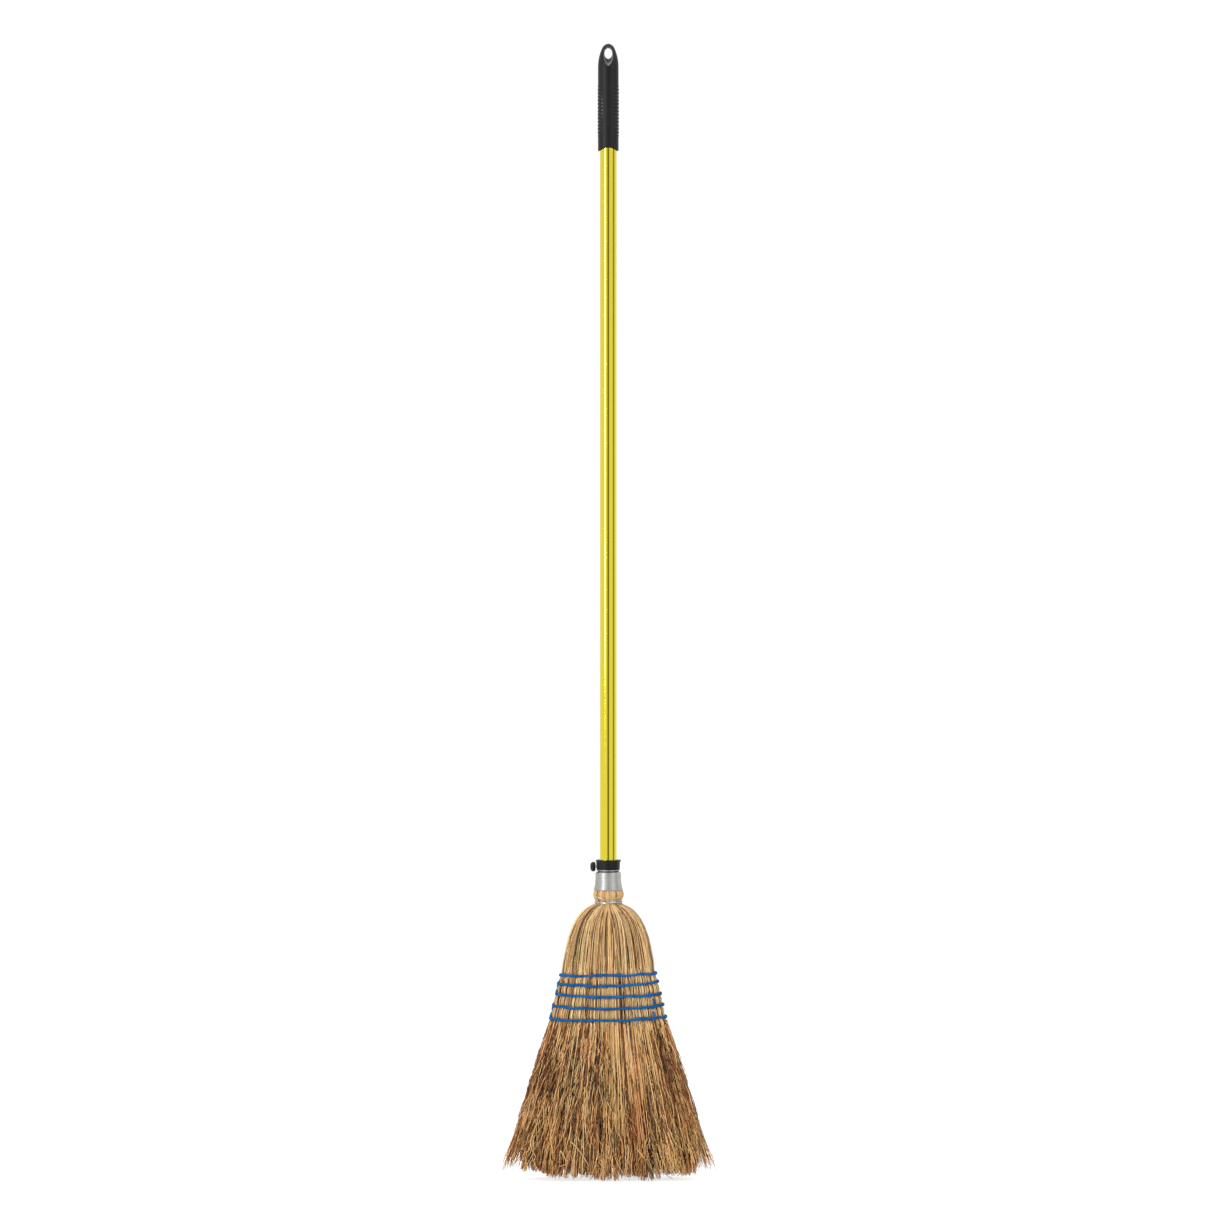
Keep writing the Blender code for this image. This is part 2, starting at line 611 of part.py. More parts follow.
def make_ferrule(collection, look):
    """One sheet: a rolled bead, a groove, a round shoulder, a straight barrel and a flared mouth."""
    bead_centre = (FERRULE_BEAD_DIAMETER / 2 - FERRULE_BEAD_ROUND, ferrule_top - FERRULE_BEAD_ROUND)
    profile = arc(bead_centre, FERRULE_BEAD_ROUND, 180, -30, 6)
    groove_height = ferrule_top - FERRULE_GROOVE_DROP
    profile.append((FERRULE_GROOVE_DIAMETER / 2, groove_height))
    for gain_share, drop_share in FERRULE_SHOULDER_SHARES:
        radius = blend(FERRULE_GROOVE_DIAMETER, FERRULE_BARREL_DIAMETER, gain_share) / 2
        profile.append((radius, groove_height - drop_share * FERRULE_SHOULDER_HEIGHT))
    flare_top = ferrule_mouth + FERRULE_FLARE_HEIGHT
    for gain_share, drop_share in FERRULE_FLARE_SHARES:
        radius = blend(FERRULE_BARREL_DIAMETER, FERRULE_MOUTH_DIAMETER, gain_share) / 2
        profile.append((radius, flare_top - drop_share * FERRULE_FLARE_HEIGHT))
    ferrule = turned("ferrule", profile, collection, look, closed=False)
    sheet = ferrule.modifiers.new("sheet", "SOLIDIFY")
    sheet.thickness = FERRULE_SHEET
    sheet.offset = -1


def make_collar(collection, cutters, look):
    """The clamping collar and its socket sleeve: one moulding, open at the top."""
    lip, body = COLLAR_LIP_DIAMETER / 2, COLLAR_DIAMETER / 2
    sleeve_foot = socket_floor - SOCKET_FLOOR
    profile = [(0, socket_floor), (socket_radius, socket_floor),
               (socket_radius, collar_top - COLLAR_EDGE), (socket_radius + COLLAR_EDGE, collar_top),
               (lip - COLLAR_EDGE, collar_top), (lip, collar_top - COLLAR_EDGE),
               (lip, lip_foot + COLLAR_EDGE), (lip - COLLAR_EDGE, lip_foot), (body, lip_foot),
               (body, collar_foot + COLLAR_EDGE), (body - COLLAR_EDGE, collar_foot),
               (sleeve_radius, collar_foot), (sleeve_radius, sleeve_foot + COLLAR_EDGE),
               (sleeve_radius - COLLAR_EDGE, sleeve_foot), (0, sleeve_foot)]
    collar = turned("clamp_collar", profile, collection, look, closed=False)
    cut(collar, side_cylinder("insert_seat", insert_radius + SEAT_GAP, socket_radius - CUT_OVERRUN,
                              body + CUT_OVERRUN, cutters))


def make_thumb_screw(collection, looks):
    """Insert, washer, shank and knob, on one axis through the collar's left wall."""
    insert_face = socket_radius + SEAT_GAP / 2
    insert = turned("threaded_insert", [(insert_radius, INSERT_LENGTH), (insert_radius, 0),
                                        (insert_bore_radius, 0), (insert_bore_radius, INSERT_LENGTH)],
                    collection, looks["insert"], SMALL_STEPS)
    face_left(insert, insert_face)
    washer_face = COLLAR_DIAMETER / 2 + SEAT_GAP
    washer = turned("thumb_screw_washer",
                    [(WASHER_DIAMETER / 2, WASHER_THICKNESS), (WASHER_DIAMETER / 2, 0),
                     (insert_bore_radius, 0), (insert_bore_radius, WASHER_THICKNESS)],
                    collection, looks["washer"], SMALL_STEPS)
    face_left(washer, washer_face)
    knob_face = washer_face + WASHER_THICKNESS + SEAT_GAP
    shank_face = pole_radius + SEAT_GAP
    shank_length = knob_face + KNOB_GRIP_DEPTH - shank_face
    shank = turned("thumb_screw_shank",
                   [(0, shank_length), (SCREW_DIAMETER / 2, shank_length), (SCREW_DIAMETER / 2, SCREW_POINT),
                    (SCREW_DIAMETER / 2 - SCREW_POINT, 0), (0, 0)],
                   collection, looks["shank"], SMALL_STEPS, closed=False)
    face_left(shank, shank_face)
    angles = round_angles(KNOB_STEPS)
    rings = [round_ring(KNOB_GRIP_DEPTH + SEAT_GAP, insert_bore_radius, angles),
             round_ring(0, insert_bore_radius, angles)]
    for radius_share, height_share in KNOB_PROFILE_SHARES:
        lobes = KNOB_LOBE_DEPTH * radius_share * (1 - np.cos(KNOB_LOBES * angles))
        rings.append(round_ring(height_share * KNOB_THICKNESS, radius_share * KNOB_DIAMETER / 2 - lobes,
                                angles))
    knob = add_object("thumb_screw_knob", loft("thumb_screw_knob", rings), collection, looks["knob"])
    face_left(knob, knob_face)
    return insert, washer, shank, knob


# Pole and grip

def make_handle_tube(collection, look):
    bore = pole_radius - POLE_WALL
    profile = [(pole_radius - POLE_EDGE, pole_top), (pole_radius, pole_top - POLE_EDGE),
               (pole_radius, pole_foot + POLE_EDGE), (pole_radius - POLE_EDGE, pole_foot),
               (bore, pole_foot), (bore, pole_top)]
    return turned("handle_tube", profile, collection, look)


def rib_mask(angles, middle_share):
    """1 on the ribbed side panels and 0 off them. A panel is widest half way along the grip."""
    from_side = np.degrees(np.arccos(np.abs(np.cos(angles))))
    reach = blend(GRIP_PANEL_END_DEG, GRIP_PANEL_MIDDLE_DEG, math.sqrt(max(0.0, 1 - middle_share ** 2)))
    return np.clip((reach - from_side) / GRIP_PANEL_FADE_DEG + 0.5, 0, 1)


def make_grip(collection, cutters, look):
    """A moulded sleeve with ribbed side panels, an arched lower rim, a domed end and an eye."""
    angles = round_angles(GRIP_STEPS)
    radius, bore = GRIP_DIAMETER / 2, pole_radius + SEAT_GAP
    arch = GRIP_RIM_ARCH * np.sin(angles) ** 2
    rings = [round_ring(pole_top + SEAT_GAP, bore, angles)]
    for rim_radius, rise in ((bore, 0.0), (radius - GRIP_RIM_ROUND, 0.0), (radius, GRIP_RIM_ROUND)):
        ring = round_ring(grip_foot + rise, rim_radius, angles)
        ring[:, 2] += arch
        rings.append(ring)
    for half_rib in range(2 * GRIP_RIB_COUNT + 1):
        height = grip_foot + GRIP_RIBS_START + (half_rib - 1) * GRIP_RIB_PITCH / 2
        height_of_rib = GRIP_RIB_HEIGHT * rib_mask(angles, half_rib / GRIP_RIB_COUNT - 1)
        rings.append(round_ring(height, radius + (half_rib % 2) * height_of_rib, angles))
    for height_share, radius_share in GRIP_DOME_SHARES:
        rings.append(round_ring(grip_top - (1 - height_share) * GRIP_DOME_HEIGHT,
                                radius * radius_share, angles))
    grip = add_object("grip", loft("grip", rings), collection, look)
    cut(grip, add_object("eye_scoops", loft("eye_scoops", eye_rings(radius)), cutters))
    return grip


def eye_rings(radius):
    """Front mouth, throat and back mouth of the eye, each an ellipse with a pointed foot."""
    angles = round_angles(EYE_STEPS)
    mouth_top = grip_top - EYE_TOP_MARGIN
    past_surface = (radius + CUT_OVERRUN) / radius
    rings = []
    for share in (-past_surface, 0, past_surface):
        high = blend(mouth_top - EYE_THROAT_DROP, mouth_top, abs(share))
        tall = blend(EYE_THROAT_HEIGHT, EYE_HEIGHT, abs(share))
        wide = blend(EYE_THROAT_WIDTH, EYE_WIDTH, abs(share))
        point = 1 + EYE_POINT * np.clip(-np.sin(angles), 0, 1)
        across = wide / 2 * np.sign(np.cos(angles)) * np.abs(np.cos(angles)) ** point
        upward = high - tall / 2 + tall / 2 * np.sin(angles)
        rings.append(np.stack((across, np.full_like(across, share * radius), upward), axis=1))
    return rings


def hold_on_axis(name, pieces, height, collection):
    """Hangs the pieces that move together on an empty that lies on their joint's axis."""
    holder = add_object(name, None, collection)
    holder.location = (0, 0, height)
    for piece in pieces:
        piece.parent = holder
        piece.matrix_parent_inverse = Matrix.Translation((0, 0, -height))


def build():
    for leftover in list(bpy.data.objects):
        bpy.data.objects.remove(leftover)
    parts = bpy.data.collections.new(OBJECT_NAME)
    cutters = bpy.data.collections.new("cutters")
    bpy.context.scene.collection.children.link(parts)
    bpy.context.scene.collection.children.link(cutters)

    pole_look = material("yellow_anodised_aluminium", (0.78, 0.70, 0.02), 0.22, 1.0)
    tube_piece = make_handle_tube(parts, pole_look)
    grip = make_grip(parts, cutters, material("black_grip_plastic", (0.020, 0.020, 0.021), 0.50))
    hold_on_axis("handle_slide", (tube_piece, grip), pole_foot, parts)

    make_collar(parts, cutters, material("black_collar_plastic", (0.022, 0.022, 0.024), 0.40))
    screw_looks = {"insert": material("brass", (0.70, 0.50, 0.20), 0.30, 1.0),
                   "washer": material("zinc_washer", (0.68, 0.68, 0.66), 0.32, 1.0),
                   "shank": material("zinc_screw", (0.58, 0.58, 0.57), 0.30, 1.0),
                   "knob": material("black_knob_plastic", (0.024, 0.023, 0.026), 0.42)}
    screw_pieces = make_thumb_screw(parts, screw_looks)
    hold_on_axis("thumb_screw_axis", screw_pieces[1:], screw_height, parts)

    make_ferrule(parts, material("spun_ferrule_steel", (0.62, 0.62, 0.60), 0.30, 1.0))
    make_wires(parts, material("binding_steel_wire", (0.60, 0.59, 0.56), 0.30, 1.0))
    make_straw_core(parts, cutters, material("inner_straw", (0.50, 0.35, 0.17), 0.70))
    for name, side in (("shoulder_left", -1), ("shoulder_right", 1)):
        make_shoulder(name, side, parts, material(name + "_straw", (0.52, 0.37, 0.18), 0.70))
    make_hurl_cover(parts, material("hurl_straw", (0.60, 0.44, 0.22), 0.65))
    make_twine(parts, material("blue_twine", (0.010, 0.13, 0.50), 0.70))
    make_bristles(parts, material("bristle_straw", (0.46, 0.32, 0.16), 0.75))


build()
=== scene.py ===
import math

import bmesh
import bpy
import numpy as np
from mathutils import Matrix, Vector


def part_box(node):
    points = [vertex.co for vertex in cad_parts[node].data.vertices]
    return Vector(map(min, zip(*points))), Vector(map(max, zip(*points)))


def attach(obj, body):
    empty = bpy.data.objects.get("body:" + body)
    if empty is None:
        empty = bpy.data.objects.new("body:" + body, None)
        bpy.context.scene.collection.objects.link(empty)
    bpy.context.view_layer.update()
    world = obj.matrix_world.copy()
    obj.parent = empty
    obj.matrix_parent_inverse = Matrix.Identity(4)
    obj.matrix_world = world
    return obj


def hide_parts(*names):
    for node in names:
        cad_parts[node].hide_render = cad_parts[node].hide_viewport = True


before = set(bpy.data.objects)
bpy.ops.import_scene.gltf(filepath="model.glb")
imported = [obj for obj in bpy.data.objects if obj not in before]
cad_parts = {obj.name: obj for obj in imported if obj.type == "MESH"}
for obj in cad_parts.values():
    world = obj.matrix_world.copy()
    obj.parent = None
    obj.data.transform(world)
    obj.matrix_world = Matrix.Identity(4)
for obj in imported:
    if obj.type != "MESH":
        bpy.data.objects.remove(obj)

# A sewn straw broom on a pale floor. Metres, +Z up, the front of the fan faces -Y.
mm = 0.001
scene = bpy.context.scene
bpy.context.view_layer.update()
print("frame loaded")


# Formula helpers

def bell(value, middle, reach):
    # e to the power of minus the square of (value - middle) / reach
    return np.exp(-((value - middle) / reach) ** 2)


def signedPower(value, power):
    # |value| to the power, with the value's sign
    return np.sign(value) * np.abs(value) ** power


def roundAngles(steps):
    # one round in equal steps, as a row
    return np.arange(steps)[None] * 2 * np.pi / steps


def between(start, end, share):
    # start + (end - start) share, for each strand and each level
    return start[:, None] + (end - start)[:, None] * share


# Mesh helpers

def meshPiece(name, points, faceSets, look, tones=None):
    # points is n x 3; each face set has rows of corner numbers; tones are one number for each point
    mesh = bpy.data.meshes.new(name)
    corners = np.concatenate([faces.ravel() for faces in faceSets]).astype(np.int32)
    sizes = np.concatenate([np.full(len(faces), faces.shape[1]) for faces in faceSets])
    mesh.vertices.add(len(points))
    mesh.vertices.foreach_set("co", np.asarray(points, np.float32).ravel())
    mesh.loops.add(len(corners))
    mesh.loops.foreach_set("vertex_index", corners)
    mesh.polygons.add(len(sizes))
    mesh.polygons.foreach_set("loop_start", (np.cumsum(sizes) - sizes).astype(np.int32))
    mesh.polygons.foreach_set("use_smooth", np.ones(len(sizes), bool))
    mesh.update(calc_edges=True)
    for label, values in (tones or {}).items():
        layer = mesh.attributes.new(label, "FLOAT", "POINT")
        layer.data.foreach_set("value", np.asarray(values, np.float32))
    mesh.materials.append(look)
    piece = bpy.data.objects.new(name, mesh)
    scene.collection.objects.link(piece)
    return piece


def gridFaces(rows, columns, wrapRows=False):
    # quads between neighbours of a rows x columns grid; each row is joined round to its own start,
    # and with wrapRows the last row to the first
    row = np.arange(rows if wrapRows else rows - 1)[:, None]
    column = np.arange(columns)[None]
    nextRow, nextColumn = (row + 1) % rows, (column + 1) % columns
    corners = (row * columns + column, row * columns + nextColumn,
               nextRow * columns + nextColumn, nextRow * columns + column)
    return np.stack(np.broadcast_arrays(*corners), -1).reshape(-1, 4)


def closeMesh(piece):
    # merges the doubled points of poles and seams, then turns every face outward
    work = bmesh.new()
    work.from_mesh(piece.data)
    bmesh.ops.remove_doubles(work, verts=work.verts, dist=0.002 * mm)
    bmesh.ops.recalc_face_normals(work, faces=work.faces)
    work.to_mesh(piece.data)
    work.free()
    return piece


def roundCorners(profile, cut, steps=5):
    # each corner c becomes the curve (1-t)(1-t) a + 2t(1-t) c + t t b between points a and b on its two
    # sides; one more point beyond a and beyond b keeps the flats between the corners flat in the light
    corner = np.asarray(profile, float)
    before, after = np.roll(corner, 1, axis=0) - corner, np.roll(corner, -1, axis=0) - corner
    longBefore = np.linalg.norm(before, axis=1, keepdims=True) + 1e-12
    longAfter = np.linalg.norm(after, axis=1, keepdims=True) + 1e-12
    room = np.minimum(longBefore, longAfter)
    near = np.minimum(np.broadcast_to(cut, (len(corner),))[:, None], room * 0.45)
    far = np.minimum(near * 1.8, room * 0.48)
    start, end = corner + before / longBefore * near, corner + after / longAfter * near
    t = np.linspace(0, 1, steps)[None, :, None]
    curve = (1 - t) ** 2 * start[:, None] + 2 * t * (1 - t) * corner[:, None] + t ** 2 * end[:, None]
    first, last = corner + before / longBefore * far, corner + after / longAfter * far
    return np.concatenate((first[:, None], curve, last[:, None]), 1).reshape(-1, 2)


def turnedPiece(name, profile, look, steps=128, lobes=None, sideways=None):
    # point = (r cos a, r sin a, h) for each (r, h) of the closed profile and each angle a;
    # lobes gives a factor on r for each angle, and sideways lays the piece on the thumb screw's axis
    radius, height = np.asarray(profile, float).T[:, :, None]
    angle = roundAngles(steps)
    around = radius * (1 if lobes is None else lobes(angle))
    across, deep, up = around * np.cos(angle), around * np.sin(angle), height + 0 * angle
    if sideways is not None:
        across, deep, up = -(sideways + up), across, screw["height"] + deep
    points = np.stack(np.broadcast_arrays(across, deep, up), -1).reshape(-1, 3)
    faces = gridFaces(len(radius), steps, wrapRows=True)
    return closeMesh(meshPiece(name, points, [faces], look))


def strandMesh(name, paths, radii, tones, look, sides=3):
    # a thin closed tube along each path: p + r (cos a n + sin a b), with b = tangent x n;
    # paths is strands x levels x 3, radii is strands x levels, and tones has a number for each
    # strand or for each of its levels
    count, levels = paths.shape[:2]
    tangent = np.gradient(paths, axis=1)
    tangent /= np.linalg.norm(tangent, axis=2, keepdims=True) + 1e-12
    front = np.array([0.0, -1.0, 0.0])
    normal = front - (tangent @ front)[..., None] * tangent
    normal /= np.linalg.norm(normal, axis=2, keepdims=True) + 1e-12
    binormal = np.cross(tangent, normal)
    angle = np.arange(sides) * 2 * np.pi / sides
    ring = normal[:, :, None] * np.cos(angle)[:, None] + binormal[:, :, None] * np.sin(angle)[:, None]
    points = (paths[:, :, None] + radii[:, :, None, None] * ring).reshape(-1, 3)
    first = (np.arange(count) * levels * sides)[:, None, None]
    walls = (first + gridFaces(levels, sides)[None]).reshape(-1, 4)
    foot = first[:, 0] + np.arange(sides)[::-1]
    tip = first[:, 0] + (levels - 1) * sides + np.arange(sides)
    spread = {label: np.repeat(np.broadcast_to(np.reshape(values, (count, -1)), (count, levels)), sides)
              for label, values in tones.items()}
    return meshPiece(name, points, [walls, foot, tip], look, spread)


def standsFor(piece, body, slot, *nodes):
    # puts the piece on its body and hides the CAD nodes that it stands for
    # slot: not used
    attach(piece, body)
    if nodes:
        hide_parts(*nodes)


def addBoolean(piece, cutter):
    # cuts the cutter's shape out of the piece
    hole = piece.modifiers.new("hole", "BOOLEAN")
    hole.object, hole.operation, hole.solver = cutter, "DIFFERENCE", "EXACT"


def makeSolid(piece, cutter):
    # keeps what the modifiers give, and drops the modifiers and the cutter
    evaluated = piece.evaluated_get(bpy.context.evaluated_depsgraph_get())
    result = bpy.data.meshes.new_from_object(evaluated)
    piece.modifiers.clear()
    piece.data = result
    bpy.data.objects.remove(cutter)


# Material helpers

def toLinear(hexColour):
    # sRGB hex to the linear colour that the shader takes
    share = np.array([int(hexColour[i:i + 2], 16) for i in (1, 3, 5)]) / 255
    linear = np.where(share <= 0.04045, share / 12.92, ((share + 0.055) / 1.055) ** 2.4)
    return (*linear.tolist(), 1.0)


def addNode(tree, kind, inputs=None, **settings):
    # one node with its settings; each input is a value or the socket that it is linked from
    node = tree.nodes.new(kind)
    for name, value in settings.items():
        setattr(node, name, value)
    for name, value in (inputs or {}).items():
        if isinstance(value, bpy.types.NodeSocket):
            tree.links.new(value, node.inputs[name])
        else:
            node.inputs[name].default_value = value
    return node


def newMaterial(name, **settings):
    # a material with its shader's own sockets set
    look = bpy.data.materials.new(name)
    look.use_nodes = True
    shader = look.node_tree.nodes["Principled BSDF"]
    for label, value in settings.items():
        shader.inputs[label.replace("_", " ")].default_value = value
    return look, look.node_tree, shader


def addNoise(tree, place, scale, detail):
    # noise at a place, from 0 to 1; a scale of three numbers stretches it
    if isinstance(scale, tuple):
        place = addNode(tree, "ShaderNodeMapping", {"Vector": place, "Scale": scale}).outputs[0]
        scale = 1.0
    inputs = {"Vector": place, "Scale": scale, "Detail": detail}
    return addNode(tree, "ShaderNodeTexNoise", inputs).outputs["Fac"]


def addRange(tree, value, start, end, low=0.0, high=1.0):
    # runs from start to end while the value goes from low to high
    inputs = {"Value": value, "From Min": low, "From Max": high, "To Min": start, "To Max": end}
    return addNode(tree, "ShaderNodeMapRange", inputs).outputs[0]


def addRamp(tree, share, stops):
    # stops are (place, colour hex)
    node = addNode(tree, "ShaderNodeValToRGB", {"Fac": share})
    ramp = node.color_ramp
    for place, colour in stops[1:-1]:
        ramp.elements.new(place)
    for element, (place, colour) in zip(ramp.elements, stops):
        element.position = place
        element.color = toLinear(colour)
    return node.outputs[0]


def mixNumbers(tree, share, first, second):
    # first (1 - share) + second share; a Mix node has its numbers at 2 and 3
    return addNode(tree, "ShaderNodeMix", {0: share, 2: first, 3: second}).outputs[0]


def mixColours(tree, share, first, second):
    # the same with colours, which are at 6 and 7
    return addNode(tree, "ShaderNodeMix", {0: share, 6: first, 7: second}, data_type="RGBA").outputs[2]


def addMath(tree, operation, *values, **settings):
    # one sum of its values
    return addNode(tree, "ShaderNodeMath", dict(enumerate(values)), operation=operation,
                   **settings).outputs[0]


def addBump(tree, shader, height, strength, distance):
    # fine relief of the height, on the shader's normal
    inputs = {"Height": height, "Strength": strength, "Distance": distance}
    bump = addNode(tree, "ShaderNodeBump", inputs)
    tree.links.new(bump.outputs[0], shader.inputs["Normal"])


# Materials

def makePoleMetal():
    # clear anodised aluminium tube, dyed yellow and drawn: bright mirror stripes that run the whole
    # length, softened by faint drawing lines
    look, tree, shader = newMaterial("yellowAnodisedAluminium", Metallic=1.0, Roughness=0.12,
                                     Coat_Weight=1.0, Coat_Roughness=0.08)
    place = addNode(tree, "ShaderNodeTexCoord").outputs["Object"]
    # drawing lines about 0.6 mm apart, hundreds of mm long
    lines = addNoise(tree, place, (1 / (0.6 * mm), 1 / (0.6 * mm), 4), 3.0)
    # bands of the dye, 50 mm wide and almost a metre long
    cloud = addNoise(tree, place, (20, 20, 1.1), 1.0)
    tint = addRamp(tree, cloud, [(0.3, "#dac81a"), (0.7, "#e2d31f")])
    tree.links.new(tint, shader.inputs["Base Color"])
    tree.links.new(addRange(tree, lines, 0.07, 0.11), shader.inputs["Roughness"])
    addBump(tree, shader, lines, 0.02, 0.02 * mm)
    return look


def makeBlackPlastic(name, colour, paintedLightColour, roughness, grainSize):
    # moulded polypropylene with a fine spark-eroded grain: near black with a soft satin sheen,
    # slightly greyer where hands have polished it, and grey where its attribute is high: a painted
    # highlight at the eye's mouth and on the ribs' ends, with painted shade deeper in the eye
    look, tree, shader = newMaterial(name, Roughness=roughness, IOR=1.49, Specular_IOR_Level=0.22)
    place = addNode(tree, "ShaderNodeTexCoord").outputs["Object"]
    grain = addNoise(tree, place, 1 / grainSize, 4.0)
    # patches of wear, 22 mm wide
    wear = addNoise(tree, place, 45.0, 3.0)
    shade = addRamp(tree, wear, [(0.35, colour[0]), (0.75, colour[1])])
    # painted highlight and painted shade: this attribute greys the plastic at the eye's mouth and on
    # the ribs' ends, less deeper in the eye
    paintedLight = addNode(tree, "ShaderNodeAttribute", attribute_name="paintedLight").outputs["Fac"]
    both = mixColours(tree, paintedLight, shade, toLinear(paintedLightColour))
    tree.links.new(both, shader.inputs["Base Color"])
    rough = addRange(tree, wear, roughness - 0.07, roughness + 0.07)
    tree.links.new(rough, shader.inputs["Roughness"])
    addBump(tree, shader, grain, 0.25, 0.03 * mm)
    return look


def makeSheetSteel(grooveHeight):
    # tinplate spun on a lathe: grey white metal with soft broad reflections and fine rings round it
    # that stretch each reflection up and down
    look, tree, shader = newMaterial("spunTinplate", Metallic=1.0, Roughness=0.32, Anisotropic=0.8)
    place = addNode(tree, "ShaderNodeTexCoord").outputs["Object"]
    # tool rings 0.5 mm apart, drawn twice as coarse so that they show, and stains 9 mm wide
    rings = addNoise(tree, place, (6, 6, 1 / (1.0 * mm)), 4.0)
    stain = addNoise(tree, place, 110.0, 5.0)
    both = mixNumbers(tree, 0.35, rings, stain)
    tint = addRamp(tree, both, [(0.30, "#9d9c98"), (0.55, "#b5b5b1"), (0.72, "#c9c9c6")])
    # painted shade: a dark band painted in the groove under the bead
    height = addNode(tree, "ShaderNodeSeparateXYZ", {0: place}).outputs[2]
    away = addMath(tree, "ABSOLUTE", addMath(tree, "SUBTRACT", height, grooveHeight))
    grooveShade = addRange(tree, away, 1.0, 0.0, 0.5 * mm, 0.9 * mm)
    shadedTint = mixColours(tree, grooveShade, tint, toLinear("#3b3a37"))
    tree.links.new(shadedTint, shader.inputs["Base Color"])
    tree.links.new(addRange(tree, both, 0.58, 0.48), shader.inputs["Roughness"])
    upright = addNode(tree, "ShaderNodeCombineXYZ", {2: 1.0})
    tree.links.new(upright.outputs[0], shader.inputs["Tangent"])
    addBump(tree, shader, rings, 0.3, 0.05 * mm)
    return look


def makePlainMetal(name, dark, light, roughness, scale):
    # plated or turned metal: bright, with small cloudy patches of the plating bath or the tool, two
    # or three mm wide
    look, tree, shader = newMaterial(name, Metallic=1.0, Roughness=roughness)
    place = addNode(tree, "ShaderNodeTexCoord").outputs["Object"]
    cloud = addNoise(tree, place, scale, 4.0)
    tint = addRamp(tree, cloud, [(0.35, dark), (0.65, light)])
    tree.links.new(tint, shader.inputs["Base Color"])
    rough = addRange(tree, cloud, roughness + 0.1, roughness - 0.08)
    tree.links.new(rough, shader.inputs["Roughness"])
    return look


def makeStraw(name, stemStops, tipStops, warmColour, paleColour, roughness):
    # dried broom straw: matt stalks whose colour changes from stalk to stalk and along each stalk,
    # golden in the stem and browner towards the fine tips; some are rust coloured (warm) and some
    # green yellow (pale)
    look, tree, shader = newMaterial(name, Roughness=roughness, IOR=1.45)
    place = addNode(tree, "ShaderNodeTexCoord").outputs["Object"]
    tone, warm, pale, stemmed = (
        addNode(tree, "ShaderNodeAttribute", attribute_name=label).outputs["Fac"]
        for label in ("tone", "warm", "pale", "stem"))
    # stains along the stalks, 1.5 mm wide and 25 mm long
    stain = addNoise(tree, place, (1 / (1.5 * mm), 1 / (1.5 * mm), 1 / (25 * mm)), 3.0)
    shift = addRange(tree, stain, -0.20, 0.20, 0.3, 0.7)
    moved = addMath(tree, "ADD", tone, shift, use_clamp=True)
    # stems above the lowest stitching, and tips below it but for the stalks that are stem all along
    height = addNode(tree, "ShaderNodeSeparateXYZ", {0: place}).outputs[2]
    upper = addRange(tree, height, 0.0, 1.0, 192 * mm, 208 * mm)
    stemPart = addMath(tree, "ADD", upper, stemmed, use_clamp=True)
    base = mixColours(tree, stemPart, addRamp(tree, moved, tipStops), addRamp(tree, moved, stemStops))
    warmer = mixColours(tree, warm, base, toLinear(warmColour))
    paler = mixColours(tree, pale, warmer, toLinear(paleColour))
    tree.links.new(paler, shader.inputs["Base Color"])
    return look


def makeTwineLook():
    # two-ply polypropylene and cotton twine, dyed blue: matt, with paler rubbed fibres and patches
    look, tree, shader = newMaterial("dyedBlueTwine", Roughness=0.8, IOR=1.45, Specular_IOR_Level=0.25)
    place = addNode(tree, "ShaderNodeTexCoord").outputs["Object"]
    # fibres 0.25 mm thick, drawn as 0.5 mm so that they show
    fibre = addNoise(tree, place, 1 / (0.5 * mm), 3.0)
    patch = addNoise(tree, place, 1 / (9 * mm), 2.0)
    both = mixNumbers(tree, 0.5, fibre, patch)
    tint = addRamp(tree, both, [(0.30, "#012d58"), (0.50, "#014a82"), (0.68, "#06629e")])
    tree.links.new(tint, shader.inputs["Base Color"])
    addBump(tree, shader, fibre, 0.6, 0.2 * mm)
    return look


poleMetal = makePoleMetal()
gripPlastic = makeBlackPlastic("mouldedGripPlastic", ("#0d0d0e", "#141315"), "#77777a",
                               0.46, 0.35 * mm)
collarPlastic = makeBlackPlastic("mouldedCollarPlastic", ("#0b0b0d", "#111214"), "#1a1a1c",
                                 0.36, 0.5 * mm)
sheetSteel = makeSheetSteel(393.0 * mm)
wireSteel = makePlainMetal("galvanisedWire", "#a6a49d", "#dddcd7", 0.30, 420.0)
zincSteel = makePlainMetal("zincPlatedSteel", "#b0afab", "#dededb", 0.28, 350.0)
turnedBrass = makePlainMetal("turnedBrass", "#b08d4a", "#d6b66e", 0.26, 300.0)
stemStops = [(0.0, "#3e2712"), (0.3, "#986f3b"), (0.58, "#cda36a"), (1.0, "#e9cc9a")]
tipStops = [(0.0, "#1f1207"), (0.33, "#73441c"), (0.62, "#af7539"), (1.0, "#e5ba7c")]
crownStraw = makeStraw("broomStraw", stemStops, tipStops, "#a9642c", "#c6b883", 0.58)
brushStraw = makeStraw("fineBroomStraw", stemStops, tipStops, "#a85a26", "#b7a36c", 0.62)
# painted shade: dark straw colours for straw that lies in shade, between the bundles and in the brush's
# heart
shadeStops = [(0.0, "#1d1108"), (0.5, "#3a2613"), (1.0, "#5f4424")]
shadeStraw = makeStraw("shadedInnerStraw", shadeStops, shadeStops, "#4a2e16", "#4f4426", 0.8)
blueTwine = makeTwineLook()
print("materials made")

# Camera: far off and level with the middle of the broom, so that the view is nearly flat
view = {"distance": 5.2, "height": 0.7269, "across": 0.0022, "frameSide": 1.5586, "sensor": 36.0}
lens = bpy.data.cameras.new("photoCamera")
lens.sensor_width = view["sensor"]
lens.lens = view["sensor"] * view["distance"] / view["frameSide"]
camera = bpy.data.objects.new("photoCamera", lens)
camera.location = (view["across"], -view["distance"], view["height"])
camera.rotation_euler = (math.pi / 2, 0, 0)
scene.collection.objects.link(camera)
scene.camera = camera

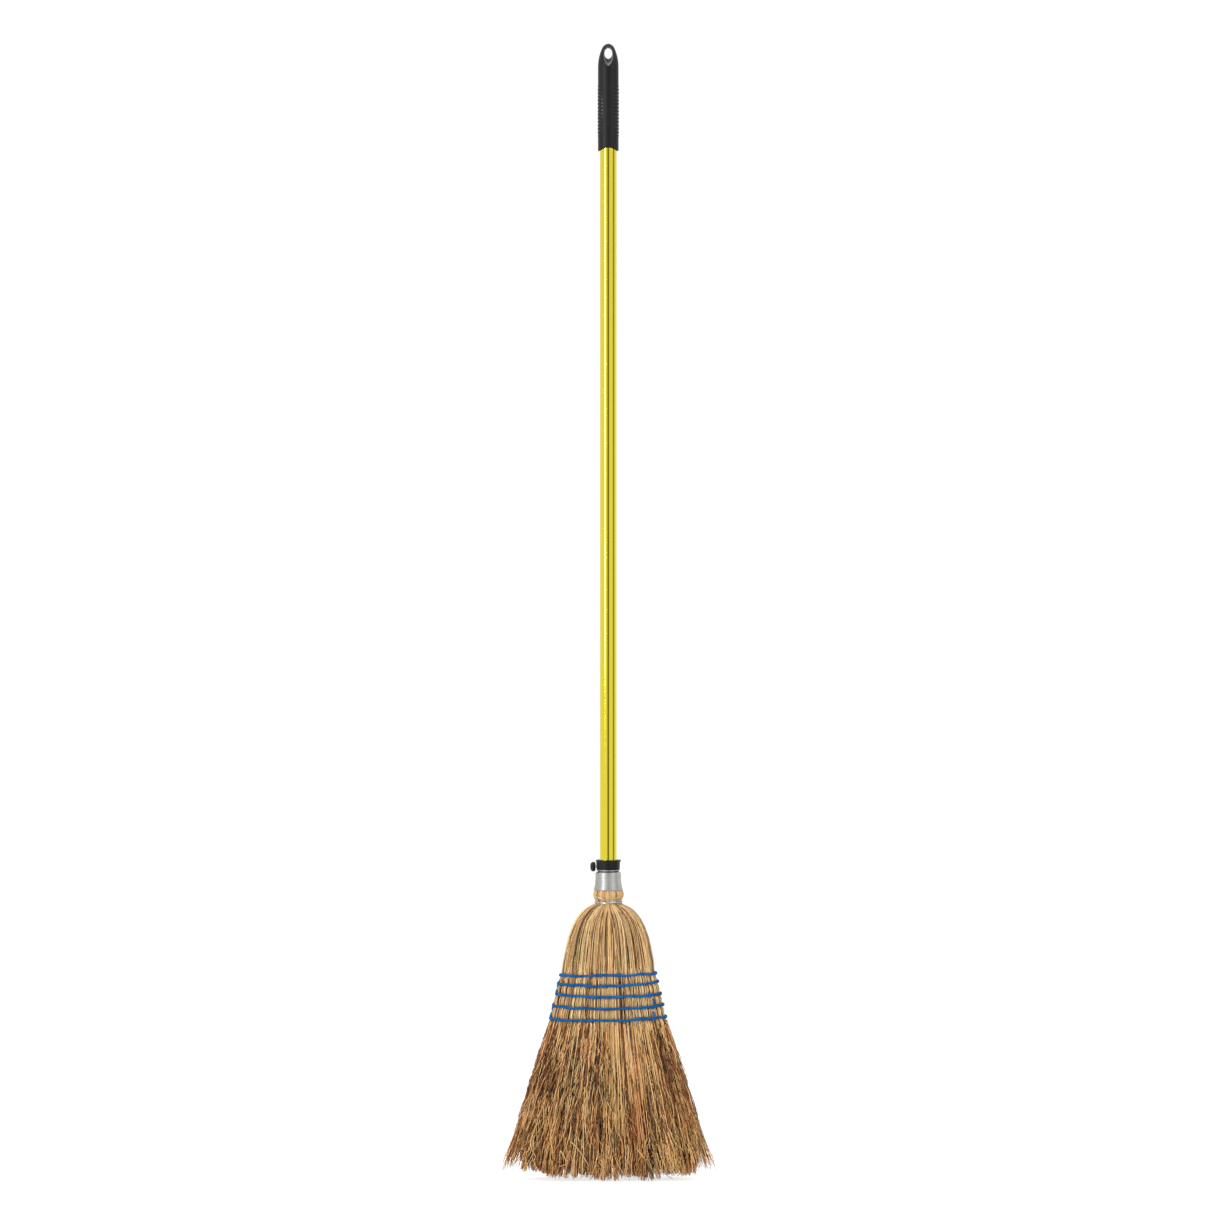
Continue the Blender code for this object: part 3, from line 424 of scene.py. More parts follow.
# Pole: a drawn tube with rounded cut ends; foot and top are heights
pole = {"radius": 11.0 * mm, "wall": 0.9 * mm, "foot": 313.1 * mm, "top": 1412.8 * mm}
bore = pole["radius"] - pole["wall"]
tubeProfile = roundCorners([(pole["radius"], pole["foot"]), (pole["radius"], pole["top"]),
                            (bore, pole["top"]), (bore, pole["foot"])], 0.25 * mm)
standsFor(turnedPiece("poleTube", tubeProfile, poleMetal), "handle", "pole_metal", "handle_tube")

# Grip: r(a, z) is the sleeve's radius at height z, plus ribs of a cosine wave that fade out
# round a lens-shaped panel on each side
grip = {"foot": 1313.3 * mm, "top": 1450.3 * mm, "radius": 13.2 * mm, "domeHeight": 31 * mm,
        "bore": 11.3 * mm, "boreTop": 1413.1 * mm, "rimArch": 3.0 * mm, "rimRound": 0.9 * mm,
        "ribPitch": 4.55 * mm, "ribCount": 15, "firstRib": 1332.3 * mm, "ribHeight": 0.75 * mm,
        "panelMiddle": 60, "panelEnd": 26, "panelFade": 5,
        # the dome's radius at heights, both as shares
        "domeHeights": (0.00, 0.13, 0.26, 0.38, 0.50, 0.63, 0.74, 0.82, 0.87, 0.92, 0.955, 0.98,
                        0.995, 1.00),
        "domeRadii": (1.00, 0.992, 0.970, 0.925, 0.865, 0.775, 0.680, 0.595, 0.530, 0.430, 0.330,
                      0.220, 0.110, 0.0),
        # painted highlight on the ribs' inner ends, on the side that the light falls on: a height, its
        # reach and its share
        "ribHighlightHeight": 1368 * mm, "ribHighlightReach": 14 * mm, "ribHighlightShare": 0.6}


def ribShares(angle, height):
    # how strongly the ribs stand out at a place, where on a rib's wave it lies, and how many degrees
    # are left to the panel's edge, which is half an ellipse over the height
    half = grip["ribCount"] / 2
    panel = ((height - grip["firstRib"]) / grip["ribPitch"] - half + 0.5) / half
    bulge = np.sqrt(np.clip(1 - panel ** 2, 0, 1))
    reach = grip["panelEnd"] + (grip["panelMiddle"] - grip["panelEnd"]) * bulge
    left = reach - np.degrees(np.arccos(np.clip(np.abs(np.cos(angle)), 0, 1)))
    mask = np.clip(left / grip["panelFade"] + 0.5, 0, 1) * np.clip((1 - np.abs(panel)) * 9, 0, 1)
    wave = (0.5 + 0.5 * np.cos((height - grip["firstRib"]) / grip["ribPitch"] * 2 * np.pi)) ** 0.8
    return mask, wave, left


def gripRadius(angle, height):
    # sleeve and dome, and the ribs on them
    dome = np.clip((height - grip["top"]) / grip["domeHeight"] + 1, 0, 1)
    mask, wave = ribShares(angle, height)[:2]
    return (grip["radius"] * np.interp(dome, grip["domeHeights"], grip["domeRadii"])
            + grip["ribHeight"] * (wave - 0.25) * mask)


def makeGrip():
    # r = gripRadius(a, z) on the outside, a rim that arches up at front and back by the square of
    # sin a, and a plain bore inside
    steps = 168
    angle = roundAngles(steps)
    rise = grip["rimArch"] * np.sin(angle) ** 2
    plain = np.linspace(0.0, 1.0, 14)[:, None] ** 1.4
    rim = grip["foot"] + grip["rimRound"] + rise
    low = rim + (grip["firstRib"] - 4 * mm - rim) * plain
    ribTop = grip["firstRib"] + grip["ribCount"] * grip["ribPitch"]
    ribbed = np.arange(grip["firstRib"] - 3.6 * mm, ribTop, 0.38 * mm)[:, None] + 0 * angle
    domeFoot = grip["top"] - grip["domeHeight"]
    above = np.linspace(ribTop + 0.3 * mm, domeFoot, 8)[:, None] + 0 * angle
    dome = np.sin(np.linspace(0, np.pi / 2, 40)[1:])[:, None]
    dome = domeFoot + grip["domeHeight"] * dome + 0 * angle
    height = np.concatenate((low, ribbed, above, dome))
    skin = np.stack((gripRadius(angle, height), height + 0 * angle))
    turn = np.linspace(0, np.pi / 2, 5)[:-1, None]
    rim = np.stack((grip["radius"] - grip["rimRound"] * (1 - np.sin(turn)) + 0 * angle,
                    grip["foot"] + rise + grip["rimRound"] * (1 - np.cos(turn))))
    boreTop = grip["boreTop"] + 0 * rise[0]
    inside = np.stack((np.array([0.0, grip["bore"], grip["bore"]])[:, None] + 0 * angle,
                       np.stack((boreTop, boreTop, grip["foot"] + rise[0]))))
    radius, height = np.concatenate((inside, rim, skin), axis=1)
    points = np.stack((radius * np.cos(angle), radius * np.sin(angle), height), -1).reshape(-1, 3)
    return closeMesh(meshPiece("handGrip", points, [gridFaces(len(radius), steps)], gripPlastic))


# Hanging eye: a scoop from each side that meets the other in a throat inside the grip; its wall is
# painted grey at the mouth as a painted highlight, and darker by "fade" at "fadeDepth" as painted shade
eye = {"top": 1447.9 * mm, "height": 27.8 * mm, "width": 13.2 * mm, "throatHeight": 13.6 * mm,
       "throatWidth": 9.8 * mm, "throatDrop": 3.4 * mm, "point": 0.35, "scoopDepth": 1.3,
       "edge": 0.55 * mm, "edgeAngle": 38, "fade": 0.8, "fadeDepth": 7 * mm}


def makeEye(piece):
    # ring at depth d: width and height grow from the throat to the mouth with d to the power 1.3,
    # x = w/2 cos a, pointed at the foot, z = h/2 sin a under the top
    steps = 72
    angle = roundAngles(steps)
    depth = np.linspace(-eye["scoopDepth"], eye["scoopDepth"], 41)[:, None]
    share = np.abs(depth) ** 1.3
    high = eye["top"] - eye["throatDrop"] * (1 - share)
    tall = eye["throatHeight"] + (eye["height"] - eye["throatHeight"]) * share
    wide = eye["throatWidth"] + (eye["width"] - eye["throatWidth"]) * share
    point = 1 + eye["point"] * np.clip(-np.sin(angle), 0, 1)
    across = wide / 2 * signedPower(np.cos(angle), point)
    upward = high - tall / 2 + tall / 2 * np.sin(angle)
    points = np.stack(np.broadcast_arrays(across, depth * grip["radius"], upward), -1).reshape(-1, 3)
    ends = np.stack((np.arange(steps), (len(depth) - 1) * steps + np.arange(steps)[::-1]))
    faces = [gridFaces(len(depth), steps), ends]
    cutter = closeMesh(meshPiece("eyeCutter", points, faces, gripPlastic))
    addBoolean(piece, cutter)
    edge = piece.modifiers.new("edge", "BEVEL")
    edge.width, edge.segments = eye["edge"], 3
    edge.limit_method, edge.angle_limit = "ANGLE", math.radians(eye["edgeAngle"])
    makeSolid(piece, cutter)
    # painted highlight strongest just under the skin, painted shade with the depth into the eye, and a
    # painted highlight on the ribs' inner ends on the side that the light falls on
    place = np.empty(3 * len(piece.data.vertices), np.float32)
    piece.data.vertices.foreach_get("co", place)
    x, y, z = place.reshape(-1, 3).T
    under = gripRadius(np.arctan2(y, x), z) - np.hypot(x, y)
    faded = 1 - eye["fade"] * np.clip(under / eye["fadeDepth"], 0, 1)
    paintedLight = np.clip(under / eye["edge"], 0, 1) * faded * (z > eye["top"] - eye["height"] - 1 * mm)
    mask, wave, left = ribShares(np.arctan2(y, x), z)
    # painted highlight on the ribs' ends where x y > 0: the front left, on which the light falls, and
    # the back right
    litRibBand = (x * y > 0) * np.exp(-((z - grip["ribHighlightHeight"]) / grip["ribHighlightReach"]) ** 4)
    ribHighlight = litRibBand * mask * wave ** 2 * bell(left, 4, 4)
    paintedLight = paintedLight + grip["ribHighlightShare"] * ribHighlight
    layer = piece.data.attributes.new("paintedLight", "FLOAT", "POINT")
    layer.data.foreach_set("value", paintedLight.astype(np.float32))


handGrip = makeGrip()
makeEye(handGrip)
standsFor(handGrip, "handle", "grip_plastic", "grip")
print("pole and grip made")

# Collar and socket sleeve: one turned moulding, with the hole for the threaded insert
collar = {"foot": 395.6 * mm, "lipFoot": 405.3 * mm, "top": 407.8 * mm, "radius": 15.1 * mm,
          "footRadius": 14.8 * mm, "lipRadius": 16.0 * mm, "bore": 11.3 * mm, "sleeve": 12.8 * mm,
          "socketFloor": 312.8 * mm, "sleeveFoot": 310.8 * mm, "edge": 0.45 * mm, "hole": 3.2 * mm,
          "groove": 397.3 * mm, "grooveDepth": 0.35 * mm, "grooveWidth": 0.5 * mm}
screw = {"height": 399.1 * mm, "boreRadius": 2.3 * mm, "corner": 0.15 * mm,
         "insertRadius": 2.9 * mm, "insertFace": 11.45 * mm, "insertLength": 3.2 * mm,
         "washerFace": 15.3 * mm, "washerRadius": 5.75 * mm, "washerThick": 0.8 * mm,
         "washerDish": 0.5 * mm, "knobFace": 16.4 * mm, "knobThick": 6.7 * mm,
         "knobRadius": 6.4 * mm, "lobes": 8, "lobeDepth": 0.055, "shankFace": 11.3 * mm,
         "shankEnd": 20.2 * mm, "shankRadius": 2.0 * mm, "threadPitch": 0.8 * mm,
         "threadDepth": 0.42 * mm, "leadIn": 0.6 * mm}


def makeCollar():
    # the profile's corners from the socket's floor up the bore, over the lip, down the outside with
    # its groove, and round the sleeve; then the insert's seat is drilled from the side
    grooveTop, grooveFoot = collar["groove"] + collar["grooveWidth"], collar["groove"]
    grooveRadius = collar["footRadius"] - collar["grooveDepth"]
    outer = [(0, collar["socketFloor"]), (collar["bore"], collar["socketFloor"]),
             (collar["bore"], collar["top"]), (collar["lipRadius"], collar["top"]),
             (collar["lipRadius"], collar["lipFoot"]), (collar["radius"], collar["lipFoot"]),
             (collar["footRadius"] + 0.1 * mm, grooveTop), (grooveRadius, grooveTop),
             (grooveRadius, grooveFoot), (collar["footRadius"], grooveFoot),
             (collar["footRadius"], collar["foot"]), (collar["sleeve"], collar["foot"]),
             (collar["sleeve"], collar["sleeveFoot"]), (0, collar["sleeveFoot"])]
    cut = np.full(len(outer), collar["edge"])
    cut[[0, -1]] = 0
    cut[6:10] = 0.12 * mm
    piece = turnedPiece("clampCollar", roundCorners(outer, cut), collarPlastic)
    seat = [(0, -1 * mm), (collar["hole"], -1 * mm), (collar["hole"], 7 * mm), (0, 7 * mm)]
    drill = turnedPiece("seatDrill", seat, collarPlastic, 48, sideways=10.5 * mm)
    addBoolean(piece, drill)
    makeSolid(piece, drill)
    standsFor(piece, "head", "collar_plastic", "clamp_collar")


def knobLobes(angle):
    # 1 less the lobes' depth times the square of a raised cosine
    return 1 - screw["lobeDepth"] * (0.5 + 0.5 * np.cos(screw["lobes"] * angle)) ** 2


def makeScrew():
    # insert: a plain ring
    insert = roundCorners([(screw["boreRadius"], 0), (screw["insertRadius"], 0),
                           (screw["insertRadius"], screw["insertLength"]),
                           (screw["boreRadius"], screw["insertLength"])], screw["corner"], 4)
    standsFor(turnedPiece("threadedInsert", insert, turnedBrass, 48, sideways=screw["insertFace"]),
              "head", "brass", "threaded_insert")
    # dished washer: its face leans out from the bore to the rim
    thick, dish, rim = screw["washerThick"], screw["washerDish"], screw["washerRadius"]
    washer = roundCorners([(screw["boreRadius"], thick - 0.05 * mm), (screw["boreRadius"], dish * 0.4),
                           (rim * 0.75, 0), (rim, 0), (rim, thick * 0.7), (rim * 0.75, thick * 0.8)],
                          screw["corner"], 4)
    standsFor(turnedPiece("screwWasher", washer, zincSteel, 64, sideways=screw["washerFace"]),
              "washer", "zinc_steel", "thumb_screw_washer")
    # knob: a lens-shaped boss whose rim swells into lobes
    share = np.array([(0.36, 0.20), (0.36, 0.0), (0.62, 0.0), (0.80, 0.05), (0.92, 0.14),
                      (0.985, 0.27), (1.0, 0.40), (0.985, 0.54), (0.92, 0.68), (0.80, 0.81),
                      (0.62, 0.91), (0.40, 0.975), (0.18, 1.0), (0.0, 1.0), (0.0, 0.58),
                      (0.36, 0.58)])
    knob = share * (screw["knobRadius"], screw["knobThick"])
    knob[[0, 1, -1], 0] = screw["boreRadius"]
    piece = turnedPiece("screwKnob", knob, collarPlastic, lobes=knobLobes, sideways=screw["knobFace"])
    standsFor(piece, "thumb_screw", "collar_plastic", "thumb_screw_knob")
    # shank: r = outer radius less the thread's depth times a triangle wave of
    # (length / pitch - a / turn)
    steps, turns = 40, 12
    length = np.linspace(0, screw["shankEnd"] - screw["shankFace"], 8 * turns)[:, None]
    angle = roundAngles(steps)
    phase = length / screw["threadPitch"] - angle / (2 * np.pi)
    thread = np.abs((phase % 1) * 2 - 1)
    pointed = np.clip(length / screw["leadIn"], 0.35, 1)
    radius = (screw["shankRadius"] - screw["threadDepth"] * thread) * pointed
    radius = np.concatenate((0 * radius[:1], radius, 0 * radius[:1]))
    place = np.concatenate((length[:1], length, length[-1:])) + screw["shankFace"]
    deep, up = radius * np.cos(angle), screw["height"] + radius * np.sin(angle)
    points = np.stack(np.broadcast_arrays(-place, deep, up), -1).reshape(-1, 3)
    shank = meshPiece("threadedShank", points, [gridFaces(len(radius), steps)], zincSteel)
    standsFor(closeMesh(shank), "thumb_screw", "zinc_steel", "thumb_screw_shank")


makeCollar()
makeScrew()

# Ferrule: one sheet with a rolled bead, a groove, a shoulder, a barrel and a flared mouth;
# the profile is its outer side, and the inner side is the same less the sheet
ferrule = {"top": 395.3 * mm, "bead": 0.7 * mm, "beadRadius": 14.8 * mm, "sheet": 0.5 * mm,
           # (radius, height) from the bead to the mouth
           "outer": ((13.6, 393.8), (13.4, 392.5), (14.4, 392.3), (15.3, 392.0), (15.85, 391.5),
                     (16.2, 390.6), (16.32, 389.6), (16.38, 387.6), (16.4, 385.0), (16.45, 382.4),
                     (16.6, 380.2), (16.95, 377.2), (17.45, 374.2), (18.1, 371.4), (18.62, 369.5))}


def makeFerrule():
    # bead: an arc of its own radius from 190 down to -40 degrees
    turn = np.radians(np.linspace(190, -40, 14))
    bead = np.stack((ferrule["beadRadius"] - ferrule["bead"] + ferrule["bead"] * np.cos(turn),
                     ferrule["top"] - ferrule["bead"] + ferrule["bead"] * np.sin(turn)), 1)
    outer = np.array(ferrule["outer"]) * mm
    inner = outer[::-1] - (ferrule["sheet"], 0)
    inner[0, 0] += 0.1 * mm
    piece = turnedPiece("spunFerrule", np.concatenate((bead, outer, inner)), sheetSteel)
    standsFor(piece, "head", "ferrule_steel", "ferrule")


makeFerrule()
print("collar, screw and ferrule made")

# Fan of straw: half widths and half depths at heights from the floor to inside the ferrule, in mm,
# and each row of stitches at its left end, middle and right end
fan = {
    "heights": (0, 14, 24, 45, 65, 96, 127, 157, 188, 198, 208, 218.5, 229, 239, 249, 259.3, 269.6,
                280, 290, 300, 310.4, 320.7, 331, 336, 341.1, 343.6, 346.2, 348.2, 349.6, 350.6,
                351.6, 354.5, 357.6, 359.2, 361.0, 363.5, 366.5, 368.6, 369.8, 374),
    "halfWidths": (134, 132, 130, 123.5, 117, 107.5, 98.2, 88.8, 79.4, 76.4, 74.0, 71.4, 69.2, 67.1,
                   64.6, 61.9, 60.1, 58.4, 56.4, 54.4, 51.9, 48.0, 42.9, 39.4, 34.9, 32.2, 28.6,
                   24.8, 21.2, 18.4, 17.3, 17.0, 17.5, 18.6, 19.5, 19.8, 19.4, 18.5, 17.7, 17.2),
    "halfDepths": (27.2, 27.0, 26.9, 26.5, 26.1, 25.4, 24.6, 23.8, 23.2, 23.0, 23.0, 23.0, 23.2,
                   23.4, 23.6, 23.8, 24.0, 24.2, 24.4, 24.6, 24.6, 24.4, 24.0, 23.5, 22.7, 22.1,
                   21.2, 20.2, 19.0, 18.0, 17.3, 17.0, 17.5, 18.6, 19.5, 19.8, 19.4, 18.5, 17.7,
                   17.2),
    # the outline is a superellipse that turns into an ellipse between these heights
    "squareness": 2.5, "squareTop": 331 * mm, "roundFoot": 349 * mm,
    "rowSink": 1.6 * mm, "rowReach": 2.8 * mm,
    "rowLeft": (261.0, 250.3, 237.1, 221.9, 205.4), "rowMiddle": (261.8, 248.8, 234.9, 219.4, 204.3),
    "rowRight": (263.7, 252.7, 237.5, 223.1, 208.0)}


def fanSize(height):
    # half width and half depth at a height
    return (np.interp(height, np.array(fan["heights"]) * mm, np.array(fan[side]) * mm)
            for side in ("halfWidths", "halfDepths"))


def rowHeights(across):
    # each row is a parabola through its left end, middle and right end; across runs from -1 to 1
    left, middle, right = (np.array(fan[end]) * mm for end in ("rowLeft", "rowMiddle", "rowRight"))
    u = np.asarray(across)[..., None]
    return middle + (right - left) / 2 * u + ((right + left) / 2 - middle) * u ** 2


def fanPoint(angle, height, inset):
    # superellipse: x = w |cos a|^(2/n), y = d |sin a|^(2/n) with their signs, where w and d lose the
    # inset and the waist that each stitch row draws in
    wide, deep = fanSize(height)
    power = 2 / np.interp(height, (fan["squareTop"], fan["roundFoot"]), (fan["squareness"], 2.0))
    across, depth = signedPower(np.cos(angle), power), signedPower(np.sin(angle), power)
    rows = bell(height[..., None], rowHeights(across), fan["rowReach"])
    sunk = inset + fan["rowSink"] * rows.sum(-1)
    return np.stack(np.broadcast_arrays((wide - sunk) * across, (deep - sunk) * depth, height), -1)


# Even steps round the fan: the angle for each share of the way round, measured over the top row
ringAngle = np.linspace(0, 2 * np.pi, 2001)
ringPoint = fanPoint(ringAngle, np.full(len(ringAngle), 275 * mm), 0.0)
ringWay = np.concatenate(([0], np.cumsum(np.linalg.norm(np.diff(ringPoint, axis=0), axis=1))))
ringWay /= ringWay[-1]


def wayAngle(way):
    # the angle at a share of the way round; whole rounds stay
    return np.interp(way % 1, ringWay, ringAngle) + 2 * np.pi * np.floor(way)


# Bundles: the straw lies in bundles side by side, two in each ridge of the CAD cover, and each with
# its own width, depth and colour
straw = {"seed": 16, "ridges": 26, "crownStalks": 430, "crownUnder": 460, "sewnStalks": 560,
         "sewnUnder": 480, "stalkRadius": 0.66 * mm, "layer": 1.1 * mm,
         "underLayer": (1.3 * mm, 2.6 * mm), "bundleRound": 1.9 * mm, "tuck": 1.1 * mm,
         # bundles stand apart most at a height of the crown
         "opening": 0.22, "openHeight": 308 * mm, "openReach": 36 * mm,
         # stalks cross their bundle slowly, and sway in waves
         "driftHeight": 285 * mm, "driftLength": 60 * mm, "sway": 0.16, "swayLength": 19 * mm,
         # the sewn straw's ends come out below the stitching, longest near the middle
         "tailEnd": 194 * mm, "tailLong": (14 * mm, 74 * mm), "tailLift": 1.1 * mm,
         "tailHeight": 205 * mm, "tailReach": 30 * mm, "centre": 20 * mm, "centreReach": 28 * mm,
         # tones run from 0, dark, to 1, light
         "tone": 0.59, "toneSpread": 0.36, "underShade": 0.38, "seamShade": 0.14, "leftShade": 0.24,
         "leftReach": 30 * mm, "bulgeTone": 0.72, "bulgeFoot": 346 * mm, "bulgeFade": 6 * mm,
         "innerFoot": 187 * mm, "innerTop": 372.5 * mm, "innerInset": 3.5 * mm,
         "innerRidge": 0.35 * mm, "innerRidges": 90,
         "crownHeights": (373, 370, 367, 363.5, 360, 357.5, 354.5, 351.4, 349.9, 347.6, 344, 339,
                          332, 322, 309, 294, 278, 264, 255),
         "sewnHeights": (267, 264, 260.3, 256, 250.5, 247, 243, 238, 234, 230, 225, 220.5, 216.5,
                         210, 205.5, 201, 196.5)}
random = np.random.default_rng(straw["seed"])
ridgeEdges = (np.arange(straw["ridges"]) * 2 + 1) / straw["ridges"] / 2
splitEdges = ridgeEdges + random.uniform(0.38, 0.62, straw["ridges"]) / straw["ridges"]
bundleEdges = np.append(np.stack((ridgeEdges, splitEdges), 1).ravel(), 1 + ridgeEdges[0])
bundleCount = 2 * straw["ridges"]
bundle = {"centre": (bundleEdges[1:] + bundleEdges[:-1]) / 2, "half": np.diff(bundleEdges) / 2,
          "tone": random.uniform(-0.09, 0.09, bundleCount),
          "sunk": random.uniform(0, 0.75, bundleCount) * mm,
          "open": random.uniform(0.2, 0.8, bundleCount),
          "warm": np.clip(random.normal(0.0, 0.13, bundleCount), 0, 0.5)}


def centreShare(across):
    # a bell curve of x that is 1 where the long tails and the stems lie
    return bell(across, straw["centre"], straw["centreReach"])


def tailLevels(level, pick):
    # runs each stalk on below its last height, in four steps, to an end of its own
    count = len(level)
    root = fanPoint(wayAngle(bundle["centre"][pick]), np.full(count, straw["tailEnd"]), 0.0)[:, :1]
    short, long = straw["tailLong"]
    longest = short + (long - short) * centreShare(root) ** 2
    end = straw["tailEnd"] - random.random((count, 1)) ** 1.3 * longest
    steps = np.array([[0.25, 0.5, 0.75, 1.0]])
    level = np.concatenate((level, level[:, -1:] + (end - level[:, -1:]) * steps), 1)
    level[:, :1] += random.uniform(0, 20, (count, 1)) * mm
    return level


def bundledStalks(count, heights, low, under):
    # each stalk keeps its place u in its bundle: way = centre + half width * u * spread of the height,
    # inset = depth of the bundle + round * u * u + a layer of its own; low is 0 for the crown and 1
    # for the sewn straw, under is 1 for the darker stalks behind
    level = np.tile(np.array(heights) * mm, (count, 1))
    pick = random.integers(0, bundleCount, count)
    if low:
        level = tailLevels(level, pick)
    place = random.uniform(-1, 1, count)[:, None]
    half, opened = bundle["half"][pick][:, None], bundle["open"][pick][:, None]
    middle = bell(level, straw["openHeight"], straw["openReach"])
    spread = 1.10 - straw["opening"] * opened * (middle + 0.22 * low)
    loose = np.where(random.random((count, 1)) < 0.12, 1.5, 0.4)
    drift = random.normal(0, 1, (count, 1)) * loose * half
    drift = drift * (level - straw["driftHeight"]) / straw["driftLength"]
    sway = random.normal(0, straw["sway"], (count, 1)) * half
    sway = sway * np.sin(level / straw["swayLength"] + random.uniform(0, 6.3, (count, 1)))
    way = bundle["centre"][pick][:, None] + half * place * spread + drift + sway
    layer = random.random((count, 1)) * straw["layer"]
    if under:
        layer = random.uniform(*straw["underLayer"], (count, 1))
    rounded = straw["bundleRound"] * place ** 2 * opened * (0.25 + middle)
    sunk = bundle["sunk"][pick][:, None] * (0.25 + 0.75 * middle)
    lifted = np.clip((straw["tailHeight"] - level) / straw["tailReach"], 0, 1)
    inset = straw["stalkRadius"] + layer + rounded + sunk - straw["tailLift"] * lifted
    # the ends tuck under, so that crown and sewn straw pass into each other
    inset[:, 0 if low else -1] += straw["tuck"]
    paths = fanPoint(wayAngle(way), level, inset)
    thick = random.uniform(0.62, 1.32, (count, 1)) * straw["stalkRadius"]
    radii = thick * np.interp(level, (90 * mm, 190 * mm, 300 * mm, 360 * mm), (0.55, 0.85, 1.0, 1.25))
    return paths, radii, stalkTones(paths, level, pick, place[:, 0], low, under)


def stalkTones(paths, level, pick, place, low, under):
    # tone: the bundle's and a random part, darker under the others and at the seams between bundles,
    # and a little darker in the left half of the crown; the bulge under the ferrule is lighter and
    # more even
    count = len(pick)
    tone = straw["tone"] + bundle["tone"][pick] + random.normal(0, straw["toneSpread"], count)
    tone = tone - straw["underShade"] * under - straw["seamShade"] * place ** 2
    leftward = np.clip(-paths[:, :, 0].mean(axis=1) / straw["leftReach"], 0, 1)
    tone = tone - straw["leftShade"] * (1 - low) * leftward
    even = 0.5 * np.clip((level - straw["bulgeFoot"]) / straw["bulgeFade"], 0, 1)
    return {"tone": tone[:, None] * (1 - even) + straw["bulgeTone"] * even,
            "warm": np.clip(bundle["warm"][pick] * random.uniform(0.3, 1.4, count)
                            + (random.random(count) < 0.12) * random.uniform(0.3, 0.9, count), 0, 0.85),
            "pale": (random.random(count) < 0.20) * random.uniform(0.2, 0.8, count),
            "stem": (random.random(count) < 0.5) * random.uniform(0.3, 0.9, count)
            * centreShare(paths[:, -1, 0])}


def joinStrands(*groups):
    # puts groups of strands with equally many levels together
    paths, radii, tones = zip(*groups)
    return (np.concatenate(paths), np.concatenate(radii),
            {label: np.concatenate([group[label] for group in tones]) for label in tones[0]})


def makeUnderStraw():
    # the straw that shows between the bundles, painted dark as the shade there: fanPoint on a grid,
    # with ridges of a sine wave
    steps, levels = 360, 46
    number = np.arange(steps)
    angle = wayAngle(number[None] / steps)
    height = np.linspace(straw["innerFoot"], straw["innerTop"], levels)[:, None]
    ridge = straw["innerRidge"] * np.sin(number[None] * 2 * np.pi / steps * straw["innerRidges"])
    inset = straw["innerInset"] + ridge
    points = fanPoint(angle + 0 * height, height + 0 * angle, inset).reshape(-1, 3)
    ends = np.stack((number[::-1], (levels - 1) * steps + number))
    tones = {"tone": 0.3 + 0.3 * np.tile(np.sin(number * 2.4) * np.sin(number * 0.61), levels),
             "warm": np.zeros(steps * levels), "pale": np.zeros(steps * levels)}
    piece = meshPiece("underStraw", points, [gridFaces(levels, steps), ends], shadeStraw, tones)
    standsFor(piece, "head", "straw", "straw_core", "shoulder_left", "shoulder_right")


def makeStalks():
    # crown and sewn straw, each with a darker layer under the outer one
    for low, name in enumerate(("crown", "sewn")):
        stalks = joinStrands(*(bundledStalks(straw[name + layer], straw[name + "Heights"], low, under)
                               for layer, under in (("Under", 1), ("Stalks", 0))))
        piece = strandMesh(name + "Stalks", *stalks, crownStraw)
        standsFor(piece, "head", "straw", "hurl_cover")


makeUnderStraw()
makeStalks()
print("crown made")

# Brush: across runs from -1 to 1 over the width, deep from -1 at the front to 1 at the back
brush = {"top": 204 * mm, "surfaceStrands": 190, "innerStrands": 400, "levels": 15,
         "strandRadius": 0.64 * mm, "crinkle": 1.0 * mm, "frizz": 0.54 * mm, "reach": 0.952,
         "depthLimit": 28.6 * mm, "edgeThinning": 0.42,
         "branches": 1050, "branchLevels": 8, "branchRadius": 0.46 * mm, "edgeBranches": 0.22,
         # strands gather in locks whose tips end at their own heights
         "locks": 34, "lockLayers": 5, "ragged": 8 * mm, "lockRagged": 10 * mm, "pointed": 6 * mm,
         # tips rise towards the corners: (height, power) of the share of the half width
         "leftRise": (18 * mm, 2.4), "rightRise": (14 * mm, 3.4), "cornerThin": 64 * mm,
         # tones run from 0, dark, to 1, light
         "tone": 0.76, "toneSpread": 0.58, "insideShade": 2.2, "upperShade": 0.42,
         "upperReach": 110 * mm, "tipTone": 0.34, "tipReach": 14 * mm}
brushNodes = ("bristles_far_left", "bristles_left", "bristles_middle", "bristles_right",
              "bristles_far_right")


def brushPoint(across, deep, height):
    # x = w a, y = d deep e, where the factor e goes from the fan's outline at the sewing to a plain
    # thinning of the two sides at the floor
    wide, thick = fanSize(height)
    low = np.clip(1 - height / brush["top"], 0, 1) ** 0.7
    edge = (1 - np.minimum(np.abs(across), 1) ** fan["squareness"]) ** (1 / fan["squareness"])
    thin = 1 - brush["edgeThinning"] * np.minimum(np.abs(across), 1) ** 3
    share = 0.96 * edge * (1 - low) + thin * low
    return np.stack(np.broadcast_arrays(wide * across, thick * deep * share, height), -1)


def brushTones(across, deep, lock, count):
    # darker inside the brush, with a rust streak right of the middle
    rust = bell(across, 0.25, 0.05) * (random.random(count) < 0.5)
    inside = np.clip(1 - np.abs(deep), 0, 1)
    return {"tone": brush["tone"] + lock + random.normal(0, brush["toneSpread"], count)
            - brush["insideShade"] * inside,
            "warm": np.clip(0.5 * rust + (random.random(count) < 0.14)
                            * random.uniform(0.2, 0.8, count), 0, 0.85),
            "pale": (random.random(count) < 0.08) * random.uniform(0.2, 0.8, count),
            "stem": (random.random(count) < 0.12) * random.uniform(0.3, 0.9, count)}


